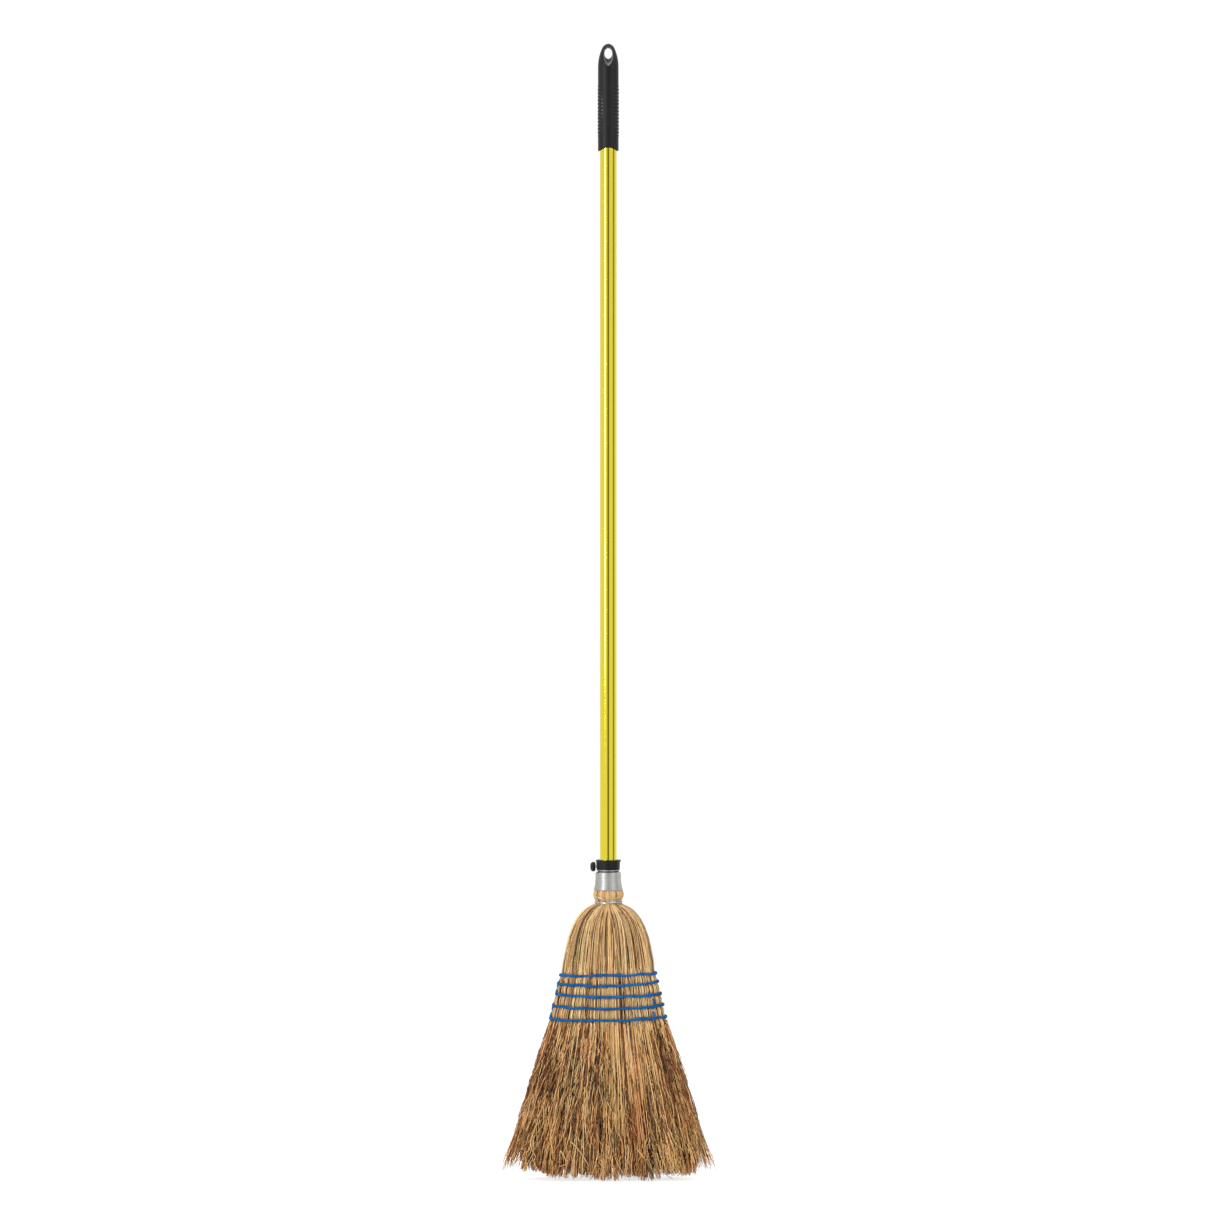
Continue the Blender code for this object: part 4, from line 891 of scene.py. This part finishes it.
def lightTips(tone, across, above):
    # strands are darker higher up; tips and sides stand against the light, so there the tone is never
    # under a mid brown
    tone = tone[:, None] - brush["upperShade"] * np.clip(above / brush["upperReach"], 0, 1)
    near = np.maximum(np.clip(1 - above / brush["tipReach"], 0, 1),
                      np.clip((np.abs(across)[:, None] - 0.90) / 0.05, 0, 1))
    return tone + near * np.maximum(brush["tipTone"] - tone, 0)


def lockPlace(across, deep):
    # the middle of the lock that a strand belongs to, and a fixed number from -1 to 1 for that lock
    # and one for its place across the brush: sines of large whole numbers
    shift = 0.3 * np.sign(deep)
    lockAcross = (np.round(across * brush["locks"] / 2 + shift) - shift) / brush["locks"] * 2
    lockDeep = np.round(deep * brush["lockLayers"] / 2) / brush["lockLayers"] * 2
    number = np.round(lockAcross * 997) + np.round(lockDeep * 131)
    return lockAcross, lockDeep, np.sin(number * 12.9898), np.sin(np.round(lockAcross * 997) * 7.233)


def cornerRise(across):
    # height = rise times the share of the half width to its power, on each side
    (left, leftPower), (right, rightPower) = brush["leftRise"], brush["rightRise"]
    share = np.minimum(np.abs(across), 1.03)
    return np.where(across < 0, left * share ** leftPower, right * share ** rightPower)


def cornerThinning(across):
    # how much higher some tips end at the two lower corners, so that they thin out there
    return brush["cornerThin"] * np.clip((np.abs(across) - 0.84) / 0.08, 0, 1)


def keepInside(paths, radii):
    # clips y to the brush's depth and z to just above the floor
    paths[..., 1] = np.clip(paths[..., 1], -brush["depthLimit"], brush["depthLimit"])
    paths[..., 2] = np.maximum(paths[..., 2], radii + 0.2 * mm)
    return paths


def mainStrands(low, high):
    # strands from the sewing to the floor, in locks that draw together at their tips: place = root +
    # (tip - root) t^1.4, plus a crinkle of two sine waves that grows with the root of t
    count = brush["surfaceStrands"] + brush["innerStrands"]
    across = random.uniform(low, high, count)
    side = np.where(random.random(count) < 0.5, -1.0, 1.0)
    deep = side * (1 - np.abs(random.normal(0, 0.10, count)))
    deep[brush["surfaceStrands"]:] = random.uniform(-0.88, 0.88, brush["innerStrands"])
    lockAcross, lockDeep, noise, swing = lockPlace(across, deep)
    pull = random.uniform(0.3, 0.95, count) * (random.random(count) < 0.85)
    endAcross = across + pull * (lockAcross + 0.026 * swing - across) + random.normal(0, 0.014, count)
    endAcross = np.clip(endAcross, -brush["reach"], brush["reach"])
    endDeep = deep + 0.4 * pull * (lockDeep * 0.92 - deep) + random.normal(0, 0.04, count)
    offset = np.abs(across - lockAcross) * brush["locks"]
    lowest = (cornerRise(endAcross) + brush["ragged"] * random.random(count) ** 2.2
              + brush["pointed"] * offset ** 2 + brush["lockRagged"] * np.clip(swing, 0, 1) ** 1.2)
    lowest += random.random(count) ** 0.6 * cornerThinning(endAcross)
    start = brush["top"] - random.uniform(0, 14, count) * mm
    t = np.linspace(0, 1, brush["levels"])[None]
    height = between(start, lowest, t)
    place = between(across, endAcross, t ** 1.4)
    depth = np.clip(between(deep, endDeep, t ** 1.4), -1.02, 1.02)
    paths = brushPoint(place, depth, height)
    wave = random.uniform(24, 70, (count, 1, 1)) * mm
    phase = random.uniform(0, 6.3, (count, 1, 2))
    crinkle = brush["crinkle"] * random.uniform(0.1, 1.0, (count, 1, 1)) * np.sqrt(t)[..., None]
    along = height[..., None] / wave * 2 * np.pi
    paths[..., :2] += crinkle * (np.sin(along + phase) + 0.5 * np.sin(2.3 * along + 2 * phase))
    frizz = brush["frizz"] * random.normal(0, 1, (count, brush["levels"], 2))
    paths[..., :2] += frizz * t[..., None] ** 0.3
    thick = random.uniform(0.55, 1.35, count)
    radii = brush["strandRadius"] * thick[:, None] * (1.1 - 0.5 * t)
    # tone: each lock its own, lighter in the thick strands, and small groups of strands alike
    group = np.sin(np.round(across * 95) * 12.9898 + np.round(deep) * 4.1)
    tones = brushTones(across, deep, 0.09 * noise + 0.30 * (thick - 0.95) + 0.09 * group, count)
    tones["tone"] = lightTips(tones["tone"], across, height - lowest[:, None])
    return keepInside(paths, radii), radii, tones


def branchStrands(low, high, outermost):
    # short strands that branch off near the surface: x = root + lean t^1.3 + bow sin(1.3 pi t); the
    # outermost parts get some at the very edge of the fan
    count = brush["branches"]
    across = random.uniform(low, high, count)
    atEdge = (random.random(count) < brush["edgeBranches"]) & outermost
    across = np.where(atEdge, np.sign(low + high) * random.uniform(0.94, 1.0, count), across)
    deep = np.where(random.random(count) < 0.5, -1, 1) * random.uniform(0.86, 1.0, count)
    deep = np.where(np.abs(across) > 0.94, random.uniform(-1, 1, count), deep)
    top = (20 + 184 * random.random(count) ** 0.7) * mm
    long = random.uniform(12, 62, count) * mm
    ending = cornerRise(across) + random.random(count) ** 0.6 * (9 * mm + cornerThinning(across))
    lowest = np.maximum(top - long, ending)
    t = np.linspace(0, 1, brush["branchLevels"])[None]
    height = between(top, lowest, t)
    lean = random.normal(0, 1, count) * np.where(random.random(count) < 0.25, 0.22, 0.09)
    lean = lean * (top - lowest)
    lean = np.where(atEdge, np.sign(low + high) * np.abs(lean) * 0.6, lean)
    bow = random.normal(0, 0.05, count) * (top - lowest)
    depth = deep[:, None] * (0.99 + random.uniform(0, 0.10, (count, 1)) * t)
    paths = brushPoint(across[:, None] + 0 * t, depth, height)
    paths[..., 0] += lean[:, None] * t ** 1.3 + bow[:, None] * np.sin(1.3 * np.pi * t)
    limit = next(fanSize(height)) + random.uniform(-2.0, 3.5, (count, 1)) * mm * t
    paths[..., 0] = np.clip(paths[..., 0], -limit, limit)
    paths[..., :2] += brush["frizz"] * random.normal(0, 1, (count, brush["branchLevels"], 2))
    thick = random.uniform(0.6, 1.55, count)
    radii = brush["branchRadius"] * thick[:, None] * (1.15 - 0.6 * t)
    tones = brushTones(across, deep, 0.42 * (thick - 0.95) + random.uniform(-0.06, 0.20, count), count)
    tones["tone"] = lightTips(tones["tone"], across, height - cornerRise(across)[:, None])
    return keepInside(paths, radii), radii, tones


def makeBrush():
    # five equal parts from left to right, each with its strands and its branches
    for number, node in enumerate(brushNodes):
        low, high = number * 0.4 - 1, number * 0.4 - 0.6
        name = "brush" + "".join(word.capitalize() for word in node.split("_")[1:])
        strands = mainStrands(low, high)
        standsFor(strandMesh(name, *strands, brushStraw), "head", "bristle_straw", node)
        strands = branchStrands(low, high, number in (0, 4))
        standsFor(strandMesh(name + "Branches", *strands, brushStraw), "head", "bristle_straw", node)


# Heart: the dense middle of the brush, which no light gets through, painted dark as the shade inside
# it; it runs from its top down by its length
heart = {"top": 192, "length": 164, "wide": 0.90, "deep": 0.72, "closing": (0.84, 0.6, 0.3, 0.02)}


def makeBrushHeart():
    # brushPoint on a grid, drawn in below by rings that shrink at the same height
    steps, levels, closing = 120, 10, heart["closing"]
    turn = roundAngles(steps)
    share = np.concatenate((np.linspace(0, 1, levels), np.ones(len(closing))))[:, None]
    height = (heart["top"] - heart["length"] * share) * mm
    shrink = np.concatenate((np.linspace(1, 0.92, levels), closing))[:, None]
    across, depth = (signedPower(wave, 0.8) for wave in (np.cos(turn), np.sin(turn)))
    points = brushPoint(across * shrink * heart["wide"], depth * shrink * heart["deep"],
                        height + 0 * turn).reshape(-1, 3)
    tones = {"tone": np.full(len(points), 0.1), "warm": np.zeros(len(points)),
             "pale": np.zeros(len(points))}
    faces = [gridFaces(len(share), steps), np.arange(steps)[None]]
    piece = meshPiece("brushHeart", points, faces, shadeStraw, tones)
    standsFor(closeMesh(piece), "head", "bristle_straw")


# Straws that lie on the brush, in mm: straight ones (from x, to x, top z, foot z, how many, warm,
# pale), and stray ones that lie across the others (x, z at four places)
looseStraw = {
    "straight": ((3, 14, 206, 40, 6, 0.0, 0.7), (-46, -36, 200, 80, 3, 0.0, 0.9),
                 (25, 34, 160, 22, 6, 0.8, 0.0), (47, 53, 196, 118, 4, 0.0, 0.6),
                 (0, 52, 202, 84, 16, 0.1, 0.2)),
    "stray": (((-48, 51), (-38, 41), (-29, 28), (-25, 20)),
              ((-63, 20), (-55, 22), (-51, 29), (-53, 41)),
              ((-60, 39), (-56, 32), (-54, 26), (-53, 17)),
              ((-48, 40), (-51, 34), (-53, 29), (-54, 22)),
              ((37, 41), (41, 36), (44, 32), (48, 27)),
              ((48, 41), (44, 36), (41, 32), (38, 26)),
              ((-96, 60), (-99, 50), (-97, 40), (-92, 31)),
              ((12, 62), (17, 52), (19, 41), (18, 31)),
              ((78, 66), (82, 55), (88, 46), (96, 40)),
              ((-20, 74), (-23, 62), (-22, 52), (-16, 43))),
    "halfWidth": 79 * mm, "strayRadius": 0.62 * mm, "strayDepth": 1.035}


def makeStraightStalks():
    # the front and the back get equally many; each follows brushPoint from its top to its foot, so it
    # spreads as the fan does
    groups = []
    for left, right, high, low, number, warmth, paleness in looseStraw["straight"]:
        for facing in (-1.0, 1.0):
            groups.append((random.uniform(left, right, number) * mm / looseStraw["halfWidth"],
                           (high - random.uniform(0, 8, number)) * mm,
                           (low + random.uniform(0, 30, number)) * mm, np.full(number, facing),
                           warmth * random.uniform(0.5, 1.1, number),
                           paleness * random.uniform(0.4, 1.1, number)))
    across, top, foot, side, warm, pale = np.concatenate(groups, axis=1)
    count, t = len(across), np.linspace(0, 1, 10)[None]
    height = between(top, foot, t)
    place = np.clip(across, -0.97, 0.97)[:, None] + random.normal(0, 0.012, (count, 1)) * t ** 2
    paths = brushPoint(place, side[:, None] * (1.0 + 0.02 * t), height)
    radii = random.uniform(0.55, 0.95, (count, 1)) * mm * (1.1 - 0.5 * t)
    tones = {"tone": random.normal(0.62, 0.16, count) - 0.16 * pale, "warm": np.clip(warm, 0, 0.9),
             "pale": np.clip(pale, 0, 1) * 0.6, "stem": np.ones(count)}
    piece = strandMesh("straightStalks", paths, radii, tones, brushStraw, 5)
    standsFor(piece, "head", "bristle_straw", "bristles_middle")


def makeStrayStraws():
    # a cubic through the four places of each, just proud of the brush
    route = np.array(looseStraw["stray"], float) * mm
    share, fine = np.linspace(0, 1, route.shape[1]), np.linspace(0, 1, 9)
    x, z = (np.array([np.polyval(np.polyfit(share, line, 3), fine) for line in route[..., axis]])
            for axis in (0, 1))
    paths = brushPoint(x / next(fanSize(z)), -looseStraw["strayDepth"] + 0 * z, z)
    radii = np.full(z.shape, looseStraw["strayRadius"]) * (1.1 - 0.45 * fine)
    tones = {"tone": np.full(len(route), 0.85), "warm": np.tile((0.1, 0.5), len(route) // 2),
             "pale": np.tile((0.4, 0.0), len(route) // 2)}
    piece = strandMesh("strayStraws", paths, radii, tones, brushStraw, 5)
    standsFor(piece, "head", "bristle_straw", "bristles_middle")


# Corner wisps: thin strands that fly out at the two lower corners, in mm but for "from", their share
# of the half width
wisps = {"count": 80, "from": (0.88, 1.0), "top": (40, 100), "foot": (11, 30), "outward": (0, 6.4)}


def makeCornerWisps():
    # each bends away from the fan's side with t^1.6
    count, t = wisps["count"], np.linspace(0, 1, 10)[None]
    for side, word, node in ((-1, "Left", "bristles_far_left"), (1, "Right", "bristles_far_right")):
        across = side * random.uniform(*wisps["from"], count)
        top, foot = (random.uniform(*wisps[end], count) * mm for end in ("top", "foot"))
        height = between(top, foot, t)
        deep = random.uniform(-0.9, 0.9, (count, 1))
        paths = brushPoint(across[:, None] + 0 * t, deep + 0 * t, height)
        paths[..., 0] += side * random.uniform(*wisps["outward"], (count, 1)) * mm * t ** 1.6
        paths[..., :2] += brush["frizz"] * random.normal(0, 1, (count, t.size, 2)) * t[..., None]
        radii = brush["branchRadius"] * random.uniform(0.7, 1.2, (count, 1)) * (1.1 - 0.6 * t)
        tones = brushTones(across, np.ones(count), 0.1, count)
        piece = strandMesh("cornerWisps" + word, keepInside(paths, radii), radii, tones, brushStraw)
        standsFor(piece, "head", "bristle_straw", node)


makeBrush()
makeBrushHeart()
makeCornerWisps()
makeStraightStalks()
makeStrayStraws()
print("brush made")


def ropeMesh(name, path, outward, radius, look, pitch=None, ply=0.0, sides=12):
    # a round wire or a twisted twine along the path: r = radius (1 - ply + ply |cos(a - turn)|),
    # where the turn grows by one round each pitch, and outward is the side that a starts from
    tangent = np.gradient(path, axis=0)
    tangent /= np.linalg.norm(tangent, axis=1, keepdims=True)
    normal = outward - (outward * tangent).sum(1, keepdims=True) * tangent
    normal /= np.linalg.norm(normal, axis=1, keepdims=True)
    binormal = np.cross(tangent, normal)
    way = np.concatenate(([0], np.cumsum(np.linalg.norm(np.diff(path, axis=0), axis=1))))
    angle = roundAngles(sides)
    turn = 0 * way[:, None] if pitch is None else way[:, None] / pitch * 2 * np.pi
    twisted = 1 - ply + ply * np.abs(np.cos(angle - turn))
    around = np.broadcast_to(radius, (len(path),))[:, None] * twisted
    ring = normal[:, None] * np.cos(angle)[..., None] + binormal[:, None] * np.sin(angle)[..., None]
    points = path[:, None] + around[..., None] * ring
    ends = np.stack((np.arange(sides)[::-1], (len(path) - 1) * sides + np.arange(sides)))
    return meshPiece(name, points.reshape(-1, 3), [gridFaces(len(path), sides), ends], look)


# Twine: one strand that goes round the fan five times and steps to the next row at the left side;
# start, overlap and steps are angles in radians. Stitches: (x, from z, to z, arch) in mm
twine = {"radius": 1.95 * mm, "sunk": 0.88 * mm, "pitch": 7.0 * mm, "ply": 0.24, "seed": 5,
         "start": -0.20, "overlap": 0.25, "steps": (-0.24, 0.06, -0.24, 0.04), "stepHalf": 0.11,
         "over": 0.2 * mm, "sway": 0.48 * mm, "stitchRadius": 1.4 * mm, "stitchSunk": 1.4,
         "stitches": ((57.6, 231.0, 218.6, 1.6), (57.9, 214.6, 204.9, 1.6), (52.9, 239.8, 234.0, 2.0))}


def fanOutward(angle, height):
    # square to the fan's surface: the way along its outline, turned a quarter
    ahead = fanPoint(angle + 0.01, height, 0.0) - fanPoint(angle - 0.01, height, 0.0)
    outward = np.stack((ahead[..., 1], -ahead[..., 0], 0 * height), -1)
    return outward / np.linalg.norm(outward, axis=-1, keepdims=True)


def makeTwine():
    # the row number grows by a smooth step 3s^2 - 2s^3 at the end of each round; the height is read
    # between the rows and sways through random knots
    total = np.arange(0, 10 * np.pi + twine["overlap"], 0.0155)
    angle = np.pi + twine["start"] + total
    row, lift = 0 * total, 0 * total
    for number, step in enumerate(twine["steps"]):
        centre = 2 * np.pi * (number + 1) + step - twine["start"]
        share = np.clip((total - centre) / (2 * twine["stepHalf"]) + 0.5, 0, 1)
        row = row + share * share * (3 - 2 * share)
        lift = lift + twine["over"] * bell(total, centre, 0.2)
    across = signedPower(np.cos(angle), 2 / fan["squareness"])
    heights = rowHeights(across)
    lower = np.minimum(np.floor(row), 3).astype(int)
    part, order = row - lower, np.arange(len(total))
    height = heights[order, lower] * (1 - part) + heights[order, lower + 1] * part
    noise = np.random.default_rng(twine["seed"])
    knots = np.interp(total, np.linspace(0, total[-1], 170), noise.normal(0, 1, 170))
    swell = np.interp(total, np.linspace(0, total[-1], 230), noise.uniform(-0.2, 0.2, 230))
    height = height + twine["sway"] * knots
    outward = fanOutward(angle, height)
    between = np.minimum(part, 1 - part) * 2
    inset = fan["rowSink"] * 2.1 * between
    path = fanPoint(angle, height, inset) + outward * (twine["radius"] - twine["sunk"] + lift)[:, None]
    piece = ropeMesh("stitchingTwine", path, outward, twine["radius"] * (1 + swell), blueTwine,
                     twine["pitch"], twine["ply"])
    standsFor(piece, "head", "blue_twine", "stitching_twine")


def makeStitches():
    # short stitches that come out of the straw and pass over a row: height runs from high to low while
    # the lift over the surface follows a sine arch
    t = np.linspace(0, 1, 26)
    for number, (across, high, low, arch) in enumerate(twine["stitches"]):
        height = (high + (low - high) * t) * mm
        share = np.clip(across * mm / next(fanSize(height)), -0.999, 0.999)
        angle = 2 * np.pi - np.arccos(signedPower(share, fan["squareness"] / 2))
        outward = fanOutward(angle, height)
        rise = -twine["stitchSunk"] + (2.0 + arch) * np.sin(np.pi * np.clip(t * 1.04, 0, 1)) ** 0.6
        path = fanPoint(angle, height, 0.0) + outward * (rise * mm)[:, None]
        piece = ropeMesh(f"edgeStitch{number + 1}", path, outward, twine["stitchRadius"], blueTwine,
                         twine["pitch"], twine["ply"])
        standsFor(piece, "head", "blue_twine", "stitching_twine")


makeTwine()
makeStitches()

# Neck wire: just over three turns, of which two cross at the front; (angle, height, lift) along it
neckWire = {"radius": 0.60 * mm, "sunk": 0.30 * mm, "widest": 20.2 * mm,
            "places": ((110, 361.0, 0), (150, 362.2, -0.5), (180, 362.9, -0.6), (217, 362.4, -0.2),
                       (235, 359.4, 0), (252, 358.2, 0), (273, 356.6, 0), (315, 354.6, 0),
                       (360, 352.6, 0), (450, 351.6, 0), (540, 350.9, 0.3), (583, 352.0, 0.3),
                       (618, 353.0, 0.4), (640, 355.4, 1.5), (664, 356.8, 0.6), (720, 355.9, 0),
                       (810, 354.6, 0), (900, 353.5, 0.2), (945, 353.9, 0.6), (990, 354.2, 1.7),
                       (1020, 354.4, 1.5), (1080, 354.3, 0.3), (1160, 355.8, 0.5),
                       (1230, 356.6, 0.3))}
bindingWire = {"radius": 0.5 * mm, "turns": 2}


def makeNeckWire():
    # height and lift are read between the places and smoothed by a running mean, and the radius is
    # the neck's with the lift
    places = np.array(neckWire["places"], float)
    turn = np.arange(places[0, 0], places[-1, 0], 5.0)
    smooth = np.hanning(9) / np.hanning(9).sum()
    lines = (np.interp(turn, places[:, 0], places[:, column]) * mm for column in (1, 2))
    height, lift = (np.convolve(np.pad(line, 4, mode="edge"), smooth, "valid") for line in lines)
    angle = np.radians(turn)
    around = np.minimum(next(fanSize(height)), neckWire["widest"])
    around = around + neckWire["radius"] - neckWire["sunk"] + lift
    outward = np.stack((np.cos(angle), np.sin(angle), 0 * angle), -1)
    path = outward * around[:, None]
    path[:, 2] = height
    piece = ropeMesh("neckWire", path, outward, neckWire["radius"], wireSteel, sides=10)
    standsFor(piece, "head", "wire_steel", "neck_wire")


def makeBindingWire():
    # the hidden wire under the ferrule: a plain helix in the CAD node's box
    low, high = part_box("binding_wire")
    radius = bindingWire["radius"]
    angle = np.linspace(0, 2 * bindingWire["turns"] * np.pi, 121)
    outward = np.stack((np.cos(angle), np.sin(angle), 0 * angle), -1)
    path = outward * (high[0] - radius)
    path[:, 2] = high[2] - radius - (high[2] - low[2] - 2 * radius) * angle / angle[-1]
    piece = ropeMesh("bindingWire", path, outward, radius, wireSteel, sides=10)
    standsFor(piece, "head", "wire_steel", "binding_wire")


makeNeckWire()
makeBindingWire()
print("twine and wires made")

# Studio: a white room, an opal floor, a soft key light and a strip light on the left. Cards that the
# camera doesn't see stand round the broom: a dark one behind the camera and one at the right give the
# pole its dark lines, and a black and a white one above them give the ferrule's rough metal its dark
# middle and its paler band
studio = {"floorSide": 2.6, "floorGlow": 0.72, "roomLight": 1.04, "overhead": 0.9, "overheadFrom": 0.35,
          # (name, place, width and height, power, height that it aims at, seen in reflections)
          "lamps": (("keyLight", (-1.6, -3.6, 3.0), (2.2, 2.2), 45.0, 0.6, False),
                    ("stripLight", (-2.20, -2.24, 1.18), (0.22, 1.14), 41.0, 1.18, True)),
          # (degrees round from the camera, distance, width, height, middle z, brightness)
          "cards": ((0, 6.5, 2.7, 3.2, 1.0, 0.22), (76, 3.0, 1.35, 3.2, 1.0, 0.30),
                    (6, 3.0, 1.5, 4.2, 3.9, 0.0), (55, 3.0, 1.2, 3.0, 3.3, 4.0))}
white = (1.0, 1.0, 1.0, 1.0)
squareCorners = np.array([(-1, -1), (1, -1), (1, 1), (-1, 1)])
squareFace = [np.array([[0, 1, 2, 3]])]


def makeFloor():
    # opal acrylic lit from below, as on a product photographer's table: white, with a faint shadow
    look = newMaterial("opalAcrylic", Roughness=0.9, Base_Color=toLinear("#9c9c9c"),
                       Emission_Color=white, Emission_Strength=studio["floorGlow"])[0]
    corners = np.pad(squareCorners, ((0, 0), (0, 1))) * studio["floorSide"] / 2
    meshPiece("paleFloor", corners, squareFace, look)


def makeCards():
    # foam board, painted black or glowing: each stands upright, square to the line from the broom
    for number, (degrees, distance, wide, tall, middle, bright) in enumerate(studio["cards"]):
        name = f"darkCard{number + 1}"
        look = newMaterial(name, Roughness=1.0, Base_Color=toLinear("#050505"), Specular_IOR_Level=0.0,
                           Emission_Color=white, Emission_Strength=bright)[0]
        away = math.radians(degrees)
        ahead = np.array((math.sin(away), -math.cos(away), 0))
        along = np.array((math.cos(away), math.sin(away), 0))
        corners = [ahead * distance + along * wide / 2 * i + np.array((0, 0, middle + tall / 2 * j))
                   for i, j in squareCorners]
        card = meshPiece(name, np.array(corners), squareFace, look)
        card.visible_camera = card.visible_shadow = card.visible_diffuse = False


def makeRoom():
    # white all round, and brighter overhead, so that the floor is as white as the room behind it:
    # strength = room light + overhead times what the way up has over its start
    world = bpy.data.worlds.new("studio")
    world.use_nodes = True
    scene.world = world
    tree = world.node_tree
    background = tree.nodes["Background"]
    background.inputs[0].default_value = white
    around = addNode(tree, "ShaderNodeTexCoord").outputs["Generated"]
    upward = addNode(tree, "ShaderNodeSeparateXYZ", {0: around}).outputs[2]
    over = addMath(tree, "SUBTRACT", upward, studio["overheadFrom"], use_clamp=True)
    strength = addMath(tree, "MULTIPLY_ADD", over, studio["overhead"], studio["roomLight"])
    tree.links.new(strength, background.inputs[1])


def makeLamps():
    # each is turned so that its -Z points at the pole's axis, at the height that it aims at
    for name, place, size, power, aimHeight, glossy in studio["lamps"]:
        light = bpy.data.lights.new(name, "AREA")
        light.shape, light.size, light.size_y, light.energy = "RECTANGLE", *size, power
        lamp = bpy.data.objects.new(name, light)
        aim = np.array((0, 0, aimHeight)) - place
        tilt, turn = math.acos(-aim[2] / np.linalg.norm(aim)), math.atan2(aim[1], aim[0])
        lamp.location = place
        lamp.rotation_euler = (tilt, 0, turn - math.pi / 2)
        lamp.visible_camera = False
        lamp.visible_glossy = glossy
        scene.collection.objects.link(lamp)


makeFloor()
makeCards()
makeRoom()
makeLamps()
scene.view_settings.view_transform = "Standard"
print("floor and light made")
